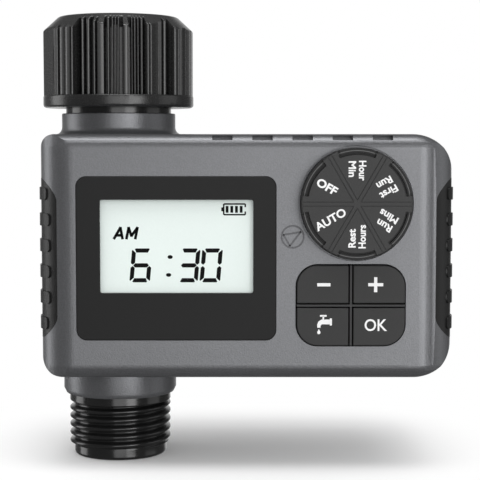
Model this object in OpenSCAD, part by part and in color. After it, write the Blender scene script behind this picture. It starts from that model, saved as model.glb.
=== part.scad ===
// Single-outlet irrigation timer for a garden tap.
// The origin is the centre of the swivel nut's mouth: +X to the right, +Y to the back, +Z up.

/* [Housing] */
// Width of the housing
body_w = 104.2; // [103:0.1:112]
// Height of the housing
body_h = 61.3; // [60:0.1:70]
// Depth of the front half, from the water axis
front_depth = 26; // [25.5:0.5:30]
// Depth of the rear half, from the water axis
rear_depth = 32; // [31:0.5:36]
// Distance from the left side to the water axis
axis_inset = 18.3; // [18:0.1:22]
// Wall thickness of both shells
wall = 2.2; // [1.8:0.1:2.4]
// Corner radius at the top left
corner_tl = 4; // [3.5:0.1:5]
// Corner radius at the bottom left
corner_bl = 6; // [5:0.1:7]
// Corner radius at the top right
corner_tr = 10.5; // [8:0.1:11]
// Corner radius at the bottom right
corner_br = 10; // [8:0.1:11]
// Rounding of the front edge
front_edge = 2.6; // [2:0.1:3.2]
// Rounding of the rear edge
rear_edge = 3.5; // [2:0.1:4]
// Rounding of the two upright front edges
front_turn = 9; // [7:0.1:10]
// Rounding of the two upright rear edges
rear_turn = 6; // [5:0.1:8]
// Height of the collar round the neck
collar_h = 5.5; // [4:0.1:7]
// Height of the collar round the outlet
outlet_collar_h = 7.2; // [6:0.1:9]
// Radius of both collars
collar_r = 15; // [14.9:0.1:15.6]
// Radius of the hollow fillet under the top collar
collar_flare = 1.9; // [1.4:0.1:2.2]

/* [Top slots] */
// Number of slots in the top front edge
slot_count = 5; // [3:1:6]
// Width of a slot
slot_w = 5.05; // [4:0.05:6]
// Distance from one slot to the next
slot_pitch = 9.97; // [8:0.01:11]
// Height of a slot
slot_h = 1.15; // [0.8:0.05:1.3]
// Distance from the left side to the first slot
slot_left = 43.6; // [40:0.1:48]

/* [Swivel nut] */
// Outside radius of the nut
nut_r = 19.7; // [19:0.1:21]
// Height of the nut
nut_h = 23.7; // [23:0.1:26]
// Width of the nut's top chamfer
nut_chamfer = 4; // [3:0.1:4.5]
// Height of the nut's top chamfer
nut_chamfer_h = 3.7; // [3:0.1:4.5]
// Height of the plain band at the nut's foot
nut_band_h = 3.1; // [2:0.1:4]
// Radius of the nut's thread bore
inlet_r = 12.45; // [12.2:0.05:12.6]
// Length of the nut's thread
inlet_thread = 12; // [10:0.1:13]
// Radius of the hollow below the thread
nut_hollow_r = 15.4; // [15.2:0.1:16]
// Height of the lip that hangs on the retaining ring
nut_lip = 3.6; // [3:0.1:4]
// Depth of the nut's fine grooves
fine_depth = 0.3; // [0.2:0.05:0.5]
// Depth of its narrow grooves
narrow_depth = 0.7; // [0.5:0.05:0.9]
// Depth of its coarse grooves
coarse_depth = 1; // [0.6:0.05:1.2]
// Depth of its four wide grooves
wide_depth = 2; // [1.2:0.1:2.2]

/* [Valve] */
// Radius of the neck and of the outlet spigot
neck_r = 13.9; // [13.7:0.1:14]
// Height of the neck that shows between the nut and the collar
neck_gap = 1.5; // [1.2:0.1:3]
// Running gap of the nut and the collars round the neck
neck_fit = 0.3; // [0.25:0.05:0.5]
// Radius of the inlet bore
inlet_bore = 8.5; // [8:0.1:9]
// Radius of the outlet bore
outlet_bore = 8; // [7.5:0.1:8.5]
// Thickness of the valve's walls
valve_wall = 3; // [2.4:0.1:3]
// Outside radius of the outlet thread
outlet_r = 13.495; // [13.4:0.005:13.6]
// Height of the plain ring above the outlet thread
outlet_plain = 2.3; // [1.5:0.1:3]
// Length of the outlet thread
outlet_thread = 11.8; // [9:0.1:13]
// Height of the ring below the outlet thread
outlet_end = 2.6; // [2:0.1:4]
// Radius of the ring below the outlet thread
outlet_end_r = 12.3; // [11.8:0.1:12.4]
// Distance from the water axis to the valve seat
seat_x = 14.5; // [14.2:0.1:15]
// Radius of the hole in the valve seat
seat_bore = 6.2; // [5.5:0.1:6.4]
// Radius of the annular chamber round the seat
chamber_r = 11.6; // [11.4:0.1:12]
// Half width of the square valve flange
flange_half = 14.2; // [14:0.1:14.6]
// Lift of the valve poppet
poppet_lift = 2.4; // [1.5:0.1:2.6]
// Thickness of the diaphragm
diaphragm_t = 1.2; // [0.8:0.1:1.6]

/* [Solenoid] */
// Radius of the winding
winding_r = 8.4; // [7:0.1:8.6]
// Length of the bobbin
bobbin_len = 20; // [18:0.5:22]
// Radius of the plunger
plunger_r = 3.6; // [3:0.1:3.8]
// Stroke of the plunger
plunger_stroke = 1.5; // [1:0.1:2]

/* [Display] */
// Width of the display panel
panel_w = 49.8; // [49:0.1:50.4]
// Height of the display panel
panel_h = 40.9; // [40:0.1:42]
// Distance from the left side to the display panel
panel_left = 9.7; // [9.5:0.1:10.5]
// Distance from the top to the display panel
panel_top = 10.5; // [10:0.1:11.5]
// Corner radius of the display panel
panel_r = 2.6; // [2:0.1:4]
// Thickness of the display panel
panel_t = 1.3; // [1:0.1:1.5]
// Width of the window in the panel
window_w = 38.2; // [36:0.1:39]
// Height of the window in the panel
window_h = 23.3; // [21:0.1:24]
// Distance from the panel's left side to its window
window_left = 5.9; // [5:0.1:6.5]
// Distance from the panel's top to its window
window_top = 5.8; // [5:0.1:6.5]
// Thickness of the LCD glass
lcd_t = 2.6; // [2:0.1:2.8]

/* [Dial and keys] */
// Radius of the selector dial
dial_r = 13.9; // [13.5:0.1:14.2]
// Distance that the dial stands out of the front face
dial_out = 4; // [3:0.1:5]
// Distance from the right side to the centre of the dial
dial_right = 24.9; // [24.4:0.1:26]
// Distance from the top to the centre of the dial
dial_top = 17.2; // [17:0.1:17.6]
// Number of positions on the dial
dial_sectors = 6; // [4:1:8]
// Width of the grip arcs round the dial's rim
dial_arc_w = 1.1; // [0.8:0.1:1.4]
// Radius of the dial's shaft
shaft_r = 3; // [2.5:0.1:3.2]
// Width of the keypad
keypad_w = 27.55; // [27:0.05:28]
// Height of the keypad
keypad_h = 20.7; // [20:0.1:21]
// Corner radius of the keypad
keypad_r = 5.6; // [4:0.1:6]
// Distance from the right side to the keypad
keypad_right = 12.3; // [12:0.1:13]
// Distance from the bottom to the keypad
keypad_bottom = 8.3; // [8:0.1:8.8]
// Width of the gaps between the keys
key_gap = 1.15; // [0.8:0.05:1.4]
// Gap between the keys and the housing
key_fit = 0.3; // [0.3:0.05:0.4]
// Distance that the keys stand out of the front face
key_out = 0.9; // [0.9:0.1:1.4]
// Travel of a key
key_travel = 0.8; // [0.5:0.05:0.8]

/* [Grips] */
// Distance from the top to the grips
grip_top = 11; // [10:0.1:12]
// Height of the grips
grip_h = 40.5; // [39:0.1:41]
// Corner radius of a grip
grip_r = 6; // [4:0.1:8]
// Thickness of the rubber set into the shell
grip_seat = 0.9; // [0.6:0.1:1.1]
// Distance that the rubber stands out of the shell
grip_out = 0.05; // [0.05:0.05:0.5]
// Number of bumps on each grip
bump_count = 6; // [4:1:6]
// Distance from one bump to the next
bump_pitch = 6.54; // [6:0.01:6.6]
// Height of a bump
bump_h = 3.1; // [2.5:0.1:4]
// Distance that a bump stands out of the rubber
bump_out = 0.4; // [0.3:0.05:0.7]

/* [Electronics] */
// Thickness of the circuit board
board_t = 1.6; // [1:0.1:1.6]
// Gap behind the front face to the circuit board
board_drop = 7.2; // [7.2:0.1:7.4]

/* [Power] */
// Radius of a battery cell
cell_r = 7.25; // [7:0.05:7.3]
// Distance from the right side to the battery tray
tray_right = 8.6; // [8:0.1:10]
// Distance between the two cells
cell_pitch = 15.5; // [15:0.1:16]
// Thickness of the battery tray's walls
tray_wall = 1.2; // [1:0.1:1.4]
// Width by which the battery cover overlaps its opening
cover_lap = 2.5; // [2:0.1:2.8]
// Thickness of the battery cover's plate
cover_t = 1.6; // [1.2:0.1:1.8]
// Gap round the battery cover
cover_fit = 0.3; // [0.2:0.05:0.5]

/* [Fasteners] */
// Radius of a shell screw
shell_screw_r = 1.5; // [1.2:0.1:1.6]
// Radius of a shell screw's boss
shell_boss_r = 3.2; // [3:0.1:3.4]
// Radius of a board screw
board_screw_r = 0.9; // [0.8:0.05:1]
// Radius of a bonnet screw
bonnet_screw_r = 1.25; // [1:0.05:1.3]

/* [Hidden] */
$fn = 64;

// Overlap that keeps a cut clear of the face it starts on
cut = 1;

// Housing planes
left = -axis_inset;
right = left + body_w;
top = -(nut_h + neck_gap + collar_h);
bottom = top - body_h;
front = -front_depth;
back = rear_depth;
inner_front = front + wall;
inner_back = back - wall;
middle = (top + bottom) / 2;
corners = [corner_tr, corner_tl, corner_bl, corner_br];
corner_centres = [
    [right - corner_tr, top - corner_tr],
    [left + corner_tl, top - corner_tl],
    [left + corner_bl, bottom + corner_bl],
    [right - corner_br, bottom + corner_br]
];
rim_reach = max(corners);
collar_bore = neck_r + neck_fit;
collar_land = 0.2;
outlet_bevel = 1.2;
outlet_top = bottom - outlet_collar_h;
thread_end = outlet_top - outlet_plain - outlet_thread;
outlet_foot = thread_end - outlet_end;
foot_edge = 0.9;

// Nut planes
washer_gap = 0.3;
washer_t = 3;
washer_bottom = -inlet_thread - washer_gap - washer_t;
ring_t = 1.1;
ring_fit = 0.1;
ring_bottom = -nut_h + nut_lip + neck_fit;
ring_r = nut_hollow_r - 0.4;
ring_groove_r = neck_r - 1.2;
washer_r = neck_r - 1;
nut_band_out = 0.15;
nut_band_edge = 0.4;
groove_flank = 0.2;
chamfer_slope = nut_chamfer_h / nut_chamfer;

// Grooves of half the nut's turn, as [start, end, depth], in degrees from the front
nut_grooves = [
    for (i = [0:3]) [-76.5 + 3.1 * i, -75.3 + 3.1 * i, fine_depth],
    for (i = [0:2]) [-61 + 3.1 * i, -59.8 + 3.1 * i, fine_depth],
    [-51.9, -50.9, fine_depth],
    [-47.8, -45, coarse_depth],
    [-39.7, -37.5, narrow_depth],
    [-33.6, -32.5, fine_depth],
    [-30.5, -24.1, wide_depth],
    [-21.4, -19.6, coarse_depth],
    [-16.8, -13.7, coarse_depth],
    [-12.2, -10.8, narrow_depth],
    [-6.2, -3.6, coarse_depth],
    [-1.2, 0.3, narrow_depth],
    [1.4, 2.4, narrow_depth],
    [3.6, 4.8, narrow_depth],
    [5.9, 7.3, narrow_depth],
    [12.8, 14.4, narrow_depth],
    [15.8, 16.9, narrow_depth],
    [17.9, 19.1, narrow_depth],
    [20.2, 21.5, narrow_depth],
    [23.9, 26.5, coarse_depth],
    [31, 34.3, fine_depth],
    [34.5, 36.9, coarse_depth],
    [39.7, 41.3, coarse_depth],
    [43.7, 52.5, wide_depth],
    [55, 58.3, narrow_depth],
    [62.8, 65.6, coarse_depth],
    [67.8, 69.9, narrow_depth],
    [73.5, 74.7, fine_depth]
];

// Filter planes: its flange lies in a step at the top of the neck
filter_r = inlet_bore + 1.4;
filter_t = 1.4;
filter_top = washer_bottom;

// Valve planes
tube_r = inlet_bore + valve_wall;
flange_t = 4;
flange_x = seat_x + 2.5;
bonnet_x = flange_x + diaphragm_t;
poppet_r = chamber_r - 2.5;
poppet_gap = 0.05;
poppet_t = 3.25;
poppet_back = seat_x + poppet_gap + poppet_t;
bonnet_hollow = poppet_back + poppet_lift + 0.3;
bonnet_floor = 1.8;
spring_pocket = 2.2;
valve_spring_r = 5;
bonnet_back = bonnet_hollow + bonnet_floor;
chamber_depth = 4.5;
chamber_x = seat_x - chamber_depth;
seat_wall = 2;
channel_h = 5;
channel_w = 10;
locator_t = 2.5;
locator_r = neck_r + 1.6;
screw_square = flange_half - 2.9;

// Solenoid planes
bobbin_x = bonnet_back + 1;
bobbin_end = bobbin_x + bobbin_len;
bobbin_flange = 1.2;
bobbin_bore = plunger_r + 0.3;
bobbin_tube = bobbin_bore + 0.8;
bobbin_r = winding_r + 0.6;
frame_t = 1.3;
frame_w = 13;
plunger_tip = bonnet_back + 0.3;
plunger_len = bobbin_len * 0.6;
core_x = plunger_tip + plunger_len + plunger_stroke + 2.6;

// Shares: what stands on the front face keeps its proportions when the housing is resized
panel_to_dial = 5.9;
dial_to_keys = 1.2;
share_x = body_w / (panel_left + panel_w + panel_to_dial + dial_r + dial_right);
share_z = body_h / (dial_top + dial_r + dial_to_keys + keypad_h + keypad_bottom);

// Front face pieces
panel_x0 = left + panel_left * share_x;
panel_x1 = panel_x0 + panel_w * share_x;
panel_z1 = top - panel_top * share_z;
panel_z0 = panel_z1 - panel_h * share_z;
panel_fit = 0.1;
panel_back = front - panel_proud() + panel_t;
window_x0 = panel_x0 + window_left * share_x;
window_x1 = window_x0 + window_w * share_x;
window_z1 = panel_z1 - window_top * share_z;
window_z0 = window_z1 - window_h * share_z;
window_r = 0.5;
lcd_edge = 2.4;
lcd_gap = 0.2;
lcd_front = panel_back + lcd_gap;
lcd_back = lcd_front + lcd_t;
dial_x = right - dial_right * share_x;
dial_z = top - dial_top * share_z;
dial_round = dial_r * min(share_x, share_z);
dial_gap = 0.5;
dial_sunk = 0.8;
dial_clear = 0.2;
dial_front = front - dial_out;
shaft_fit = 0.05;
shaft_hub_r = shaft_r + 2.2;
keypad_x1 = right - keypad_right * share_x;
keypad_x0 = keypad_x1 - keypad_w * share_x;
keypad_z0 = bottom + keypad_bottom * share_z;
keypad_z1 = keypad_z0 + keypad_h * share_z;
key_across = keypad_x1 - keypad_x0 + key_gap;
key_up = keypad_z1 - keypad_z0 + key_gap;
key_cross_w = 0.55;
key_cross_drop = 0.15;
key_flange = 1;
key_flange_t = 0.8;
key_seat = inner_front + 0.1;
key_stem_r = 1.7;
board_front = front + board_drop;
board_back = board_front + board_t;
board_x0 = panel_x0 - 2.9;
board_x1 = keypad_x1 - 0.6;
board_z0 = keypad_z0 + 1.4;
board_z1 = panel_z1 - 0.8;
tact_h = 2;
tact_nub_h = 0.5;
tact_side = 4.6;
selector_side = 12;
tact_front = board_front - tact_h - tact_nub_h;
membrane_t = 0.5;
membrane_front = key_seat + key_flange_t + key_travel + 0.1;
membrane_lap = 1.6;

// Grip planes
grip_z1 = top - grip_top;
grip_z0 = grip_z1 - grip_h;
grip_edge = 1.05;
grip_rear = 1.5;
bump_edge = 3.4;
bump_rear = 4;
bump_shorter = 1.5;
bump_slack = 0.25;
grip_front = front + grip_edge;
grip_back = -grip_rear;
bump_front = front + bump_edge;
bump_back = -bump_rear;

// Power planes
bonnet_head_h = 1.6;
tray_clear = 0.7;
contact_t = 0.4;
contact_side = 9;
contact_gap = 0.2;
nub_r = 2.75;
nub_h = 1.2;
tray_x0 = bonnet_x + flange_t + bonnet_head_h + tray_clear + tray_wall;
tray_x1 = right - tray_right;
cell_x0 = tray_x0 + contact_t + contact_gap;
cell_x1 = tray_x1 - contact_t - contact_gap / 2;
cover_seat = back - cover_t;
lid_gap = 0.1;
plug_t = 1.6;
plug_len = 3.4;
plug_front = cover_seat + lid_gap - plug_len;
cell_gap = 0.3;
cell_slack = 0.2;
coil_to_tray = 1.9;
share_y = rear_depth / (bobbin_r + coil_to_tray + tray_wall + cell_slack + 2 * cell_r + cell_gap
    + plug_len - lid_gap + cover_t);
cell_round = cell_r * share_y;
cell_step = cell_pitch * share_y;
cell_y = plug_front - cell_gap - cell_round;
tray_front = cell_y - cell_round - cell_slack - tray_wall;
tray_back = inner_back - wall;
tray_corner = 0.9;
tray_h = 2 * cell_round + cell_step + 2 * cell_slack;
tray_z0 = middle - tray_h / 2;
seal_t = 1;
seal_sunk = 0.8;
seal_fit = 0.15;
seal_at = plug_front + 0.9;

// Screw places, as [x, z]
screw_side = 9.4;
screw_drop = 7.5;
left_drop = 8.7;
left_rise = 8.3;
shell_screws_at = [
    [axis_free(), top - left_drop * share_z], [axis_free(), bottom + left_rise * share_z],
    [right - screw_side * share_x, top - screw_drop * share_z],
    [right - screw_side * share_x, bottom + screw_drop * share_z]
];
board_screws_at = [
    [board_x0 + 2.4, board_z1 - 2.6], [board_x0 + 2.4, board_z0 + 2.6],
    [panel_x1 + 1.6, board_z1 - 2.6], [panel_x1 + 1.4, board_z0 + 2.3],
    [board_x1 - 2.6, board_z1 - 2.6]
];
board_boss_r = 2.2;
screw_head_r = 2.7;
screw_head_h = 1.8;
screw_clear = 0.2;
head_clear = 0.4;
tower_wall = 1.6;
screw_sink = 6;
shell_screw_y0 = -10;

// Gasket between the shells: width, height and the gap round it
gasket_w = 1;
gasket_t = 0.9;
gasket_fit = 0.05;

// Distance that the display panel stands out of the front face
function panel_proud() = 0.2;
// Clear place for a shell screw beside the valve's tube
function axis_free() = tube_r + shell_boss_r + 1.8;

// ---------- Frames and outlines ----------

// Extrudes a front view (x, z) from y0 back to y1
module front_slab(y0, y1) {
    translate([0, y1, 0]) rotate([90, 0, 0]) linear_extrude(y1 - y0) children();
}

// Extrudes a side view (y, z) from x0 to x1
module side_slab(x0, x1) {
    translate([x0, 0, 0]) rotate([90, 0, 90]) linear_extrude(x1 - x0) children();
}

// Cylinder along X from x0 to x1
module rod_x(x0, x1, r, y = 0, z = middle) {
    translate([x0, y, z]) rotate([0, 90, 0]) cylinder(r = r, h = x1 - x0);
}

// Cylinder along Y from y0 to y1
module rod_y(x, z, y0, y1, r) {
    translate([x, y1, z]) rotate([90, 0, 0]) cylinder(r = r, h = y1 - y0);
}

// Cylinder along Z from z0 to z1 on the water axis
module rod_z(z0, z1, r) {
    translate([0, 0, z0]) cylinder(r = r, h = z1 - z0);
}

// Rectangle with rounded corners
module soft_rect(x0, z0, x1, z1, r) {
    difference() {
        translate([x0, z0]) square([x1 - x0, z1 - z0]);
        for (i = [0:3]) {
            corner = [i % 2 == 0 ? x0 : x1, i < 2 ? z0 : z1];
            turn = [i % 2 == 0 ? 1 : -1, i < 2 ? 1 : -1];
            translate(corner) scale_corner(turn) corner_cut(r);
        }
    }
}

// Points a corner cut into one of the four quadrants
module scale_corner(turn) {
    mirror([turn[0] < 0 ? 1 : 0, 0]) mirror([0, turn[1] < 0 ? 1 : 0]) children();
}

// What a round of radius r takes off a square corner
module corner_cut(r) {
    difference() {
        translate([-cut, -cut]) square(r + cut);
        translate([r, r]) circle(r);
    }
}

// Section of the rim: outward across, towards the face upwards, one rounded edge
module rim_section(outer, depth, edge) {
    difference() {
        translate([outer - rim_reach, 0]) square([rim_reach, depth]);
        translate([outer, depth]) mirror([1, 0]) mirror([0, 1]) corner_cut(edge);
    }
}

// Solid half of the housing: x and z across, depth upwards from the parting plane
module half_block(depth, edge, turn) {
    intersection() {
        union() {
            for (i = [0:3]) {
                before = corners[(i + 3) % 4];
                run = (i % 2 == 0 ? body_h : body_w) - corners[i] - before;
                translate(corner_centres[i]) rotate(90 * i) {
                    rotate_extrude(angle = 90) intersection() {
                        rim_section(corners[i], depth, edge);
                        square([rim_reach, depth]);
                    }
                    rotate([90, 0, 0]) linear_extrude(run) rim_section(corners[i], depth, edge);
                }
            }
            translate([left + rim_reach, bottom + rim_reach, 0])
                cube([body_w - 2 * rim_reach, body_h - 2 * rim_reach, depth]);
        }
        plan_prism(depth, turn, 0);
    }
}

// Upright prism with the housing's plan, grown by g, for one half
module plan_prism(depth, turn, g) {
    translate([0, top + 2 * cut, 0]) rotate([90, 0, 0]) linear_extrude(body_h + 4 * cut)
        difference() {
            translate([left - g, -cut]) square([body_w + 2 * g, depth + g + cut]);
            translate([left - g, depth + g]) mirror([0, 1]) corner_cut(turn + g);
            translate([right + g, depth + g]) mirror([1, 0]) mirror([0, 1]) corner_cut(turn + g);
        }
}

// Hollow of one half, a wall smaller all round
module half_hollow(depth, turn) {
    intersection() {
        translate([0, 0, -cut]) linear_extrude(depth - wall + cut) housing_outline(wall);
        plan_prism(depth, turn, -wall);
    }
}

// Front view of the housing, drawn in by inset
module housing_outline(inset) {
    difference() {
        translate([left + inset, bottom + inset]) square([body_w - 2 * inset, body_h - 2 * inset]);
        for (i = [0:3]) {
            spot = corner_centres[i] + (corners[i] - inset) * quadrant(i);
            translate(spot) scale_corner(-quadrant(i)) corner_cut(corners[i] - inset);
        }
    }
}

// Outward signs of corner i, counted anticlockwise from the top right
function quadrant(i) = [i == 0 || i == 3 ? 1 : -1, i < 2 ? 1 : -1];

// Puts a half block in front of the parting plane, or behind it
module to_front() {
    rotate([90, 0, 0]) children();
}

module to_back() {
    mirror([0, 1, 0]) rotate([90, 0, 0]) children();
}

// Half collar in front of the parting plane, from z0 at the housing out to z1, its end bevelled
module half_collar(z0, z1, bevel) {
    end = z1 - sign(z1 - z0) * bevel;
    land = min(bevel, collar_r - collar_bore - collar_land);
    rotate([0, 0, 180]) rotate_extrude(angle = 180)
        polygon([[0, z0], [collar_r, z0], [collar_r, end], [collar_r - land, z1], [0, z1]]);
}

// Half ring with a hollow fillet at the foot of the top collar
module half_flare() {
    rotate([0, 0, 180]) rotate_extrude(angle = 180) translate([0, top - wall / 2]) difference() {
        square([collar_r + collar_flare, collar_flare + wall / 2]);
        translate([collar_r + collar_flare, collar_flare + wall / 2]) circle(collar_flare);
    }
}

// Both half collars of the front half
module front_collars() {
    half_collar(top - wall / 2, top + collar_h, collar_land);
    half_flare();
    half_collar(bottom + wall / 2, outlet_top, outlet_bevel);
}

// Bore through both collars, with the seats of the valve's locating discs
module collar_bores() {
    seat_fit = 0.05;
    rod_z(top - wall - cut, top + collar_h + cut, collar_bore);
    rod_z(outlet_top - cut, bottom + wall + cut, collar_bore);
    rod_z(top - wall - locator_t - seat_fit, top - wall, locator_r + seat_fit);
    rod_z(bottom + wall, bottom + wall + locator_t + seat_fit, locator_r + seat_fit);
}

// ---------- Shells ----------

module front_shell() color("#7d7e82") {
    difference() {
        union() {
            to_front() half_block(front_depth, front_edge, front_turn);
            front_collars();
        }
        front_hollow();
        collar_bores();
        front_openings();
        top_slots();
        grip_recess(-1);
        grip_recess(1);
        gasket_ring(gasket_fit);
        for (at = shell_screws_at) rod_y(at[0], at[1], inner_front, cut, shell_screw_r);
    }
}

// Hollow of the front half with its bosses and ribs left standing
module front_hollow() {
    difference() {
        to_front() half_hollow(front_depth, front_turn);
        for (at = shell_screws_at) rod_y(at[0], at[1], front, 0, shell_boss_r);
        for (at = board_screws_at) rod_y(at[0], at[1], front, board_front, board_boss_r);
        front_slab(front, panel_back + wall) soft_rect(
            panel_x0 - wall, panel_z0 - wall, panel_x1 + wall, panel_z1 + wall, panel_r + wall);
        rod_y(dial_x, dial_z, front, inner_front + dial_sunk, dial_round + dial_gap + wall);
        rod_y(dial_x, dial_z, front, seal_back(), shaft_hub_r + 1.4);
        front_slab(front, membrane_front) difference() {
            keypad_outline(membrane_lap + 0.6);
            keypad_outline(key_flange + key_fit);
        }
    }
}

// Openings for the panel, the LCD, the dial and the keys
module front_openings() {
    front_slab(front - cut, panel_back) soft_rect(
        panel_x0 - panel_fit, panel_z0 - panel_fit,
        panel_x1 + panel_fit, panel_z1 + panel_fit, panel_r + panel_fit);
    front_slab(front - cut, 0) lcd_outline(lcd_gap);
    rod_y(dial_x, dial_z, front - cut, front + dial_sunk, dial_round + dial_gap);
    rod_y(dial_x, dial_z, front - cut, 0, shaft_r + shaft_fit);
    rod_y(dial_x, dial_z, seal_front(), 0, shaft_hub_r);
    front_slab(front - cut, inner_front + cut) keypad_outline(0);
    front_slab(inner_front, membrane_front) keypad_outline(key_flange + key_fit);
}

// Shallow slots in the top front edge
module top_slots() {
    slot_roof = 0.35;
    slot_depth = 4;
    for (i = [0:slot_count - 1])
        translate([left + slot_left + i * slot_pitch, front - cut, top - slot_roof - slot_h])
            cube([slot_w, slot_depth + cut, slot_h]);
}

module rear_shell() color("#7d7e82") {
    difference() {
        union() {
            to_back() half_block(rear_depth, rear_edge, rear_turn);
            mirror([0, 1, 0]) front_collars();
        }
        rear_hollow();
        collar_bores();
        battery_opening();
        for (at = shell_screws_at) {
            rod_y(at[0], at[1], -cut, back + cut, shell_screw_r + screw_clear);
            rod_y(at[0], at[1], back - wall - screw_sink, back + cut, screw_head_r + head_clear);
        }
    }
}

// Hollow of the rear half with its screw towers and the rim of the battery opening
module rear_hollow() {
    difference() {
        to_back() half_hollow(rear_depth, rear_turn);
        for (at = shell_screws_at) {
            rod_y(at[0], at[1], 0, back, shell_boss_r);
            rod_y(at[0], at[1], back - wall - screw_sink - wall, back, screw_head_r + tower_wall);
        }
        front_slab(tray_back, back) tray_outline(cover_lap + 1.6);
    }
}

// Opening for the battery cover, with the ledge that it sits on
module battery_opening() {
    front_slab(tray_back - cut, back + cut) tray_outline(0);
    front_slab(cover_seat, back + cut) tray_outline(cover_lap + cover_fit);
}

// Front view of the tray's inside, grown by g
module tray_outline(g) {
    corner_r = max(tray_corner + g, cell_slack);
    soft_rect(tray_x0 - g, tray_z0 - g, tray_x1 + g, tray_z0 + tray_h + g, corner_r);
}

// Gasket in the rim of the front shell, broken where the valve passes
module gasket_ring(g) {
    difference() {
        front_slab(-gasket_t - g, g > 0 ? cut : 0) difference() {
            housing_outline((wall - gasket_w) / 2 - g);
            housing_outline((wall + gasket_w) / 2 + g);
        }
        rod_z(bottom - cut, top + cut, collar_r + collar_flare - g);
    }
}

module shell_gasket() color("#26282a") gasket_ring(0);

module shell_screws() color("#b9bcc0") {
    for (at = shell_screws_at) {
        rod_y(at[0], at[1], shell_screw_y0, back - wall - screw_sink, shell_screw_r);
        rod_y(at[0], at[1], back - wall - screw_sink, back - wall - screw_sink + screw_head_h,
            screw_head_r);
    }
}

// ---------- Grips ----------

// Side view of a grip
module grip_outline() {
    soft_rect(grip_front, grip_z0, grip_back, grip_z1, grip_r);
}

// Region of one side of the housing, from the middle outwards
module grip_side(side) {
    if (side < 0) side_slab(left - 3, left + front_turn) children();
    else side_slab(right - front_turn, right + 3) children();
}

// Seat of a grip in the front shell
module grip_recess(side) {
    difference() {
        grip_side(side) grip_outline();
        to_front() plan_prism(front_depth, front_turn, -grip_seat);
    }
}

// Rubber skin with its bumps
module grip(side) {
    union() {
        intersection() {
            grip_side(side) grip_outline();
            difference() {
                to_front() plan_prism(front_depth, front_turn, grip_out);
                to_front() plan_prism(front_depth, front_turn, -grip_seat);
            }
        }
        intersection() {
            grip_side(side) bump_rows();
            difference() {
                to_front() plan_prism(front_depth, front_turn, grip_out + bump_out);
                to_front() plan_prism(front_depth, front_turn, 0);
            }
        }
    }
}

// Side view of the bumps; the first and the last are shorter
module bump_rows() {
    for (i = [0:bump_count - 1]) {
        z = (grip_z0 + grip_z1) / 2 + (i - (bump_count - 1) / 2) * bump_pitch;
        shorter = i == 0 || i == bump_count - 1 ? bump_shorter : 0;
        soft_rect(bump_front + shorter, z - bump_h / 2, bump_back - shorter, z + bump_h / 2,
            bump_h / 2 - bump_slack);
    }
}

module left_grip() color("#1d1e20") grip(-1);

module right_grip() color("#1d1e20") grip(1);

// ---------- Swivel nut and inlet ----------

// Corners of one groove, as [angle, depth]
function groove(g) = [
    [g[0], 0], [g[0] + (g[1] - g[0]) * groove_flank, g[2]],
    [g[1] - (g[1] - g[0]) * groove_flank, g[2]], [g[1], 0]
];

// Cross section of the grooved part of the nut: the list twice round, from the front
module nut_section() {
    polygon([
        for (half = [0, 180]) for (g = nut_grooves) for (c = groove(g))
            (nut_r - c[1]) * [cos(half - 90 + c[0]), sin(half - 90 + c[0])]
    ]);
}

// Plain band at the nut's foot, its lower edge bevelled
module nut_band() {
    band_r = nut_r + nut_band_out;
    rotate_extrude() polygon([
        [0, -nut_h], [band_r - nut_band_edge, -nut_h], [band_r, -nut_h + nut_band_edge],
        [band_r, -nut_h + nut_band_h], [0, -nut_h + nut_band_h]
    ]);
}

module swivel_nut() color("#2a2a2b") {
    difference() {
        union() {
            nut_band();
            intersection() {
                translate([0, 0, -nut_h + nut_band_h / 2])
                    linear_extrude(nut_h - nut_band_h / 2) nut_section();
                rotate_extrude() polygon([
                    [0, -nut_h], [2 * nut_r, -nut_h], [2 * nut_r, -nut_chamfer_h - nut_r * chamfer_slope],
                    [nut_r - nut_chamfer, 0], [0, 0]
                ]);
            }
        }
        rod_z(-inlet_thread - cut, cut, inlet_r);
        rod_z(-nut_h + nut_lip, -inlet_thread, nut_hollow_r);
        rod_z(-nut_h - cut, -inlet_thread, neck_r + neck_fit);
    }
}

// Open ring in the neck's groove; the nut's lip hangs on it
module nut_retaining_ring() color("#d8d8d4") {
    ring_gap = 40;
    rotate(ring_gap / 2) rotate_extrude(angle = 360 - ring_gap)
        translate([ring_groove_r + ring_fit, ring_bottom])
            square([ring_r - ring_groove_r - ring_fit, ring_t]);
}

module tap_washer() color("#4a4d50") {
    hole_r = inlet_bore + 0.5;
    rotate_extrude() translate([hole_r, washer_bottom]) square([washer_r - hole_r, washer_t]);
}

module filter_frame() color("#c9ccd0") {
    rib_w = 1.2;
    inner_r = inlet_bore - 1;
    rotate_extrude() translate([inner_r, filter_top - filter_t]) square([filter_r - inner_r, filter_t]);
    intersection() {
        rod_z(filter_top - filter_t, filter_top - filter_t / 2, inner_r);
        for (turn = [0, 90]) rotate(turn)
            translate([-inlet_bore, -rib_w / 2, filter_top - filter_t])
                cube([2 * inlet_bore, rib_w, filter_t]);
    }
}

module filter_mesh() color("#9aa0a6") {
    mesh_pitch = 1.6;
    hole = 1;
    rows = floor((inlet_bore - 2) / mesh_pitch);
    difference() {
        rod_z(filter_top - filter_t - 0.3, filter_top - filter_t, inlet_bore - 0.2);
        for (i = [-rows:rows]) for (j = [-rows:rows])
            if (norm([i, j]) * mesh_pitch < inlet_bore - 2)
                translate([i * mesh_pitch - hole / 2, j * mesh_pitch - hole / 2, filter_top - filter_t - 1])
                    cube([hole, hole, 2]);
    }
}

// ---------- Valve ----------

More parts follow.
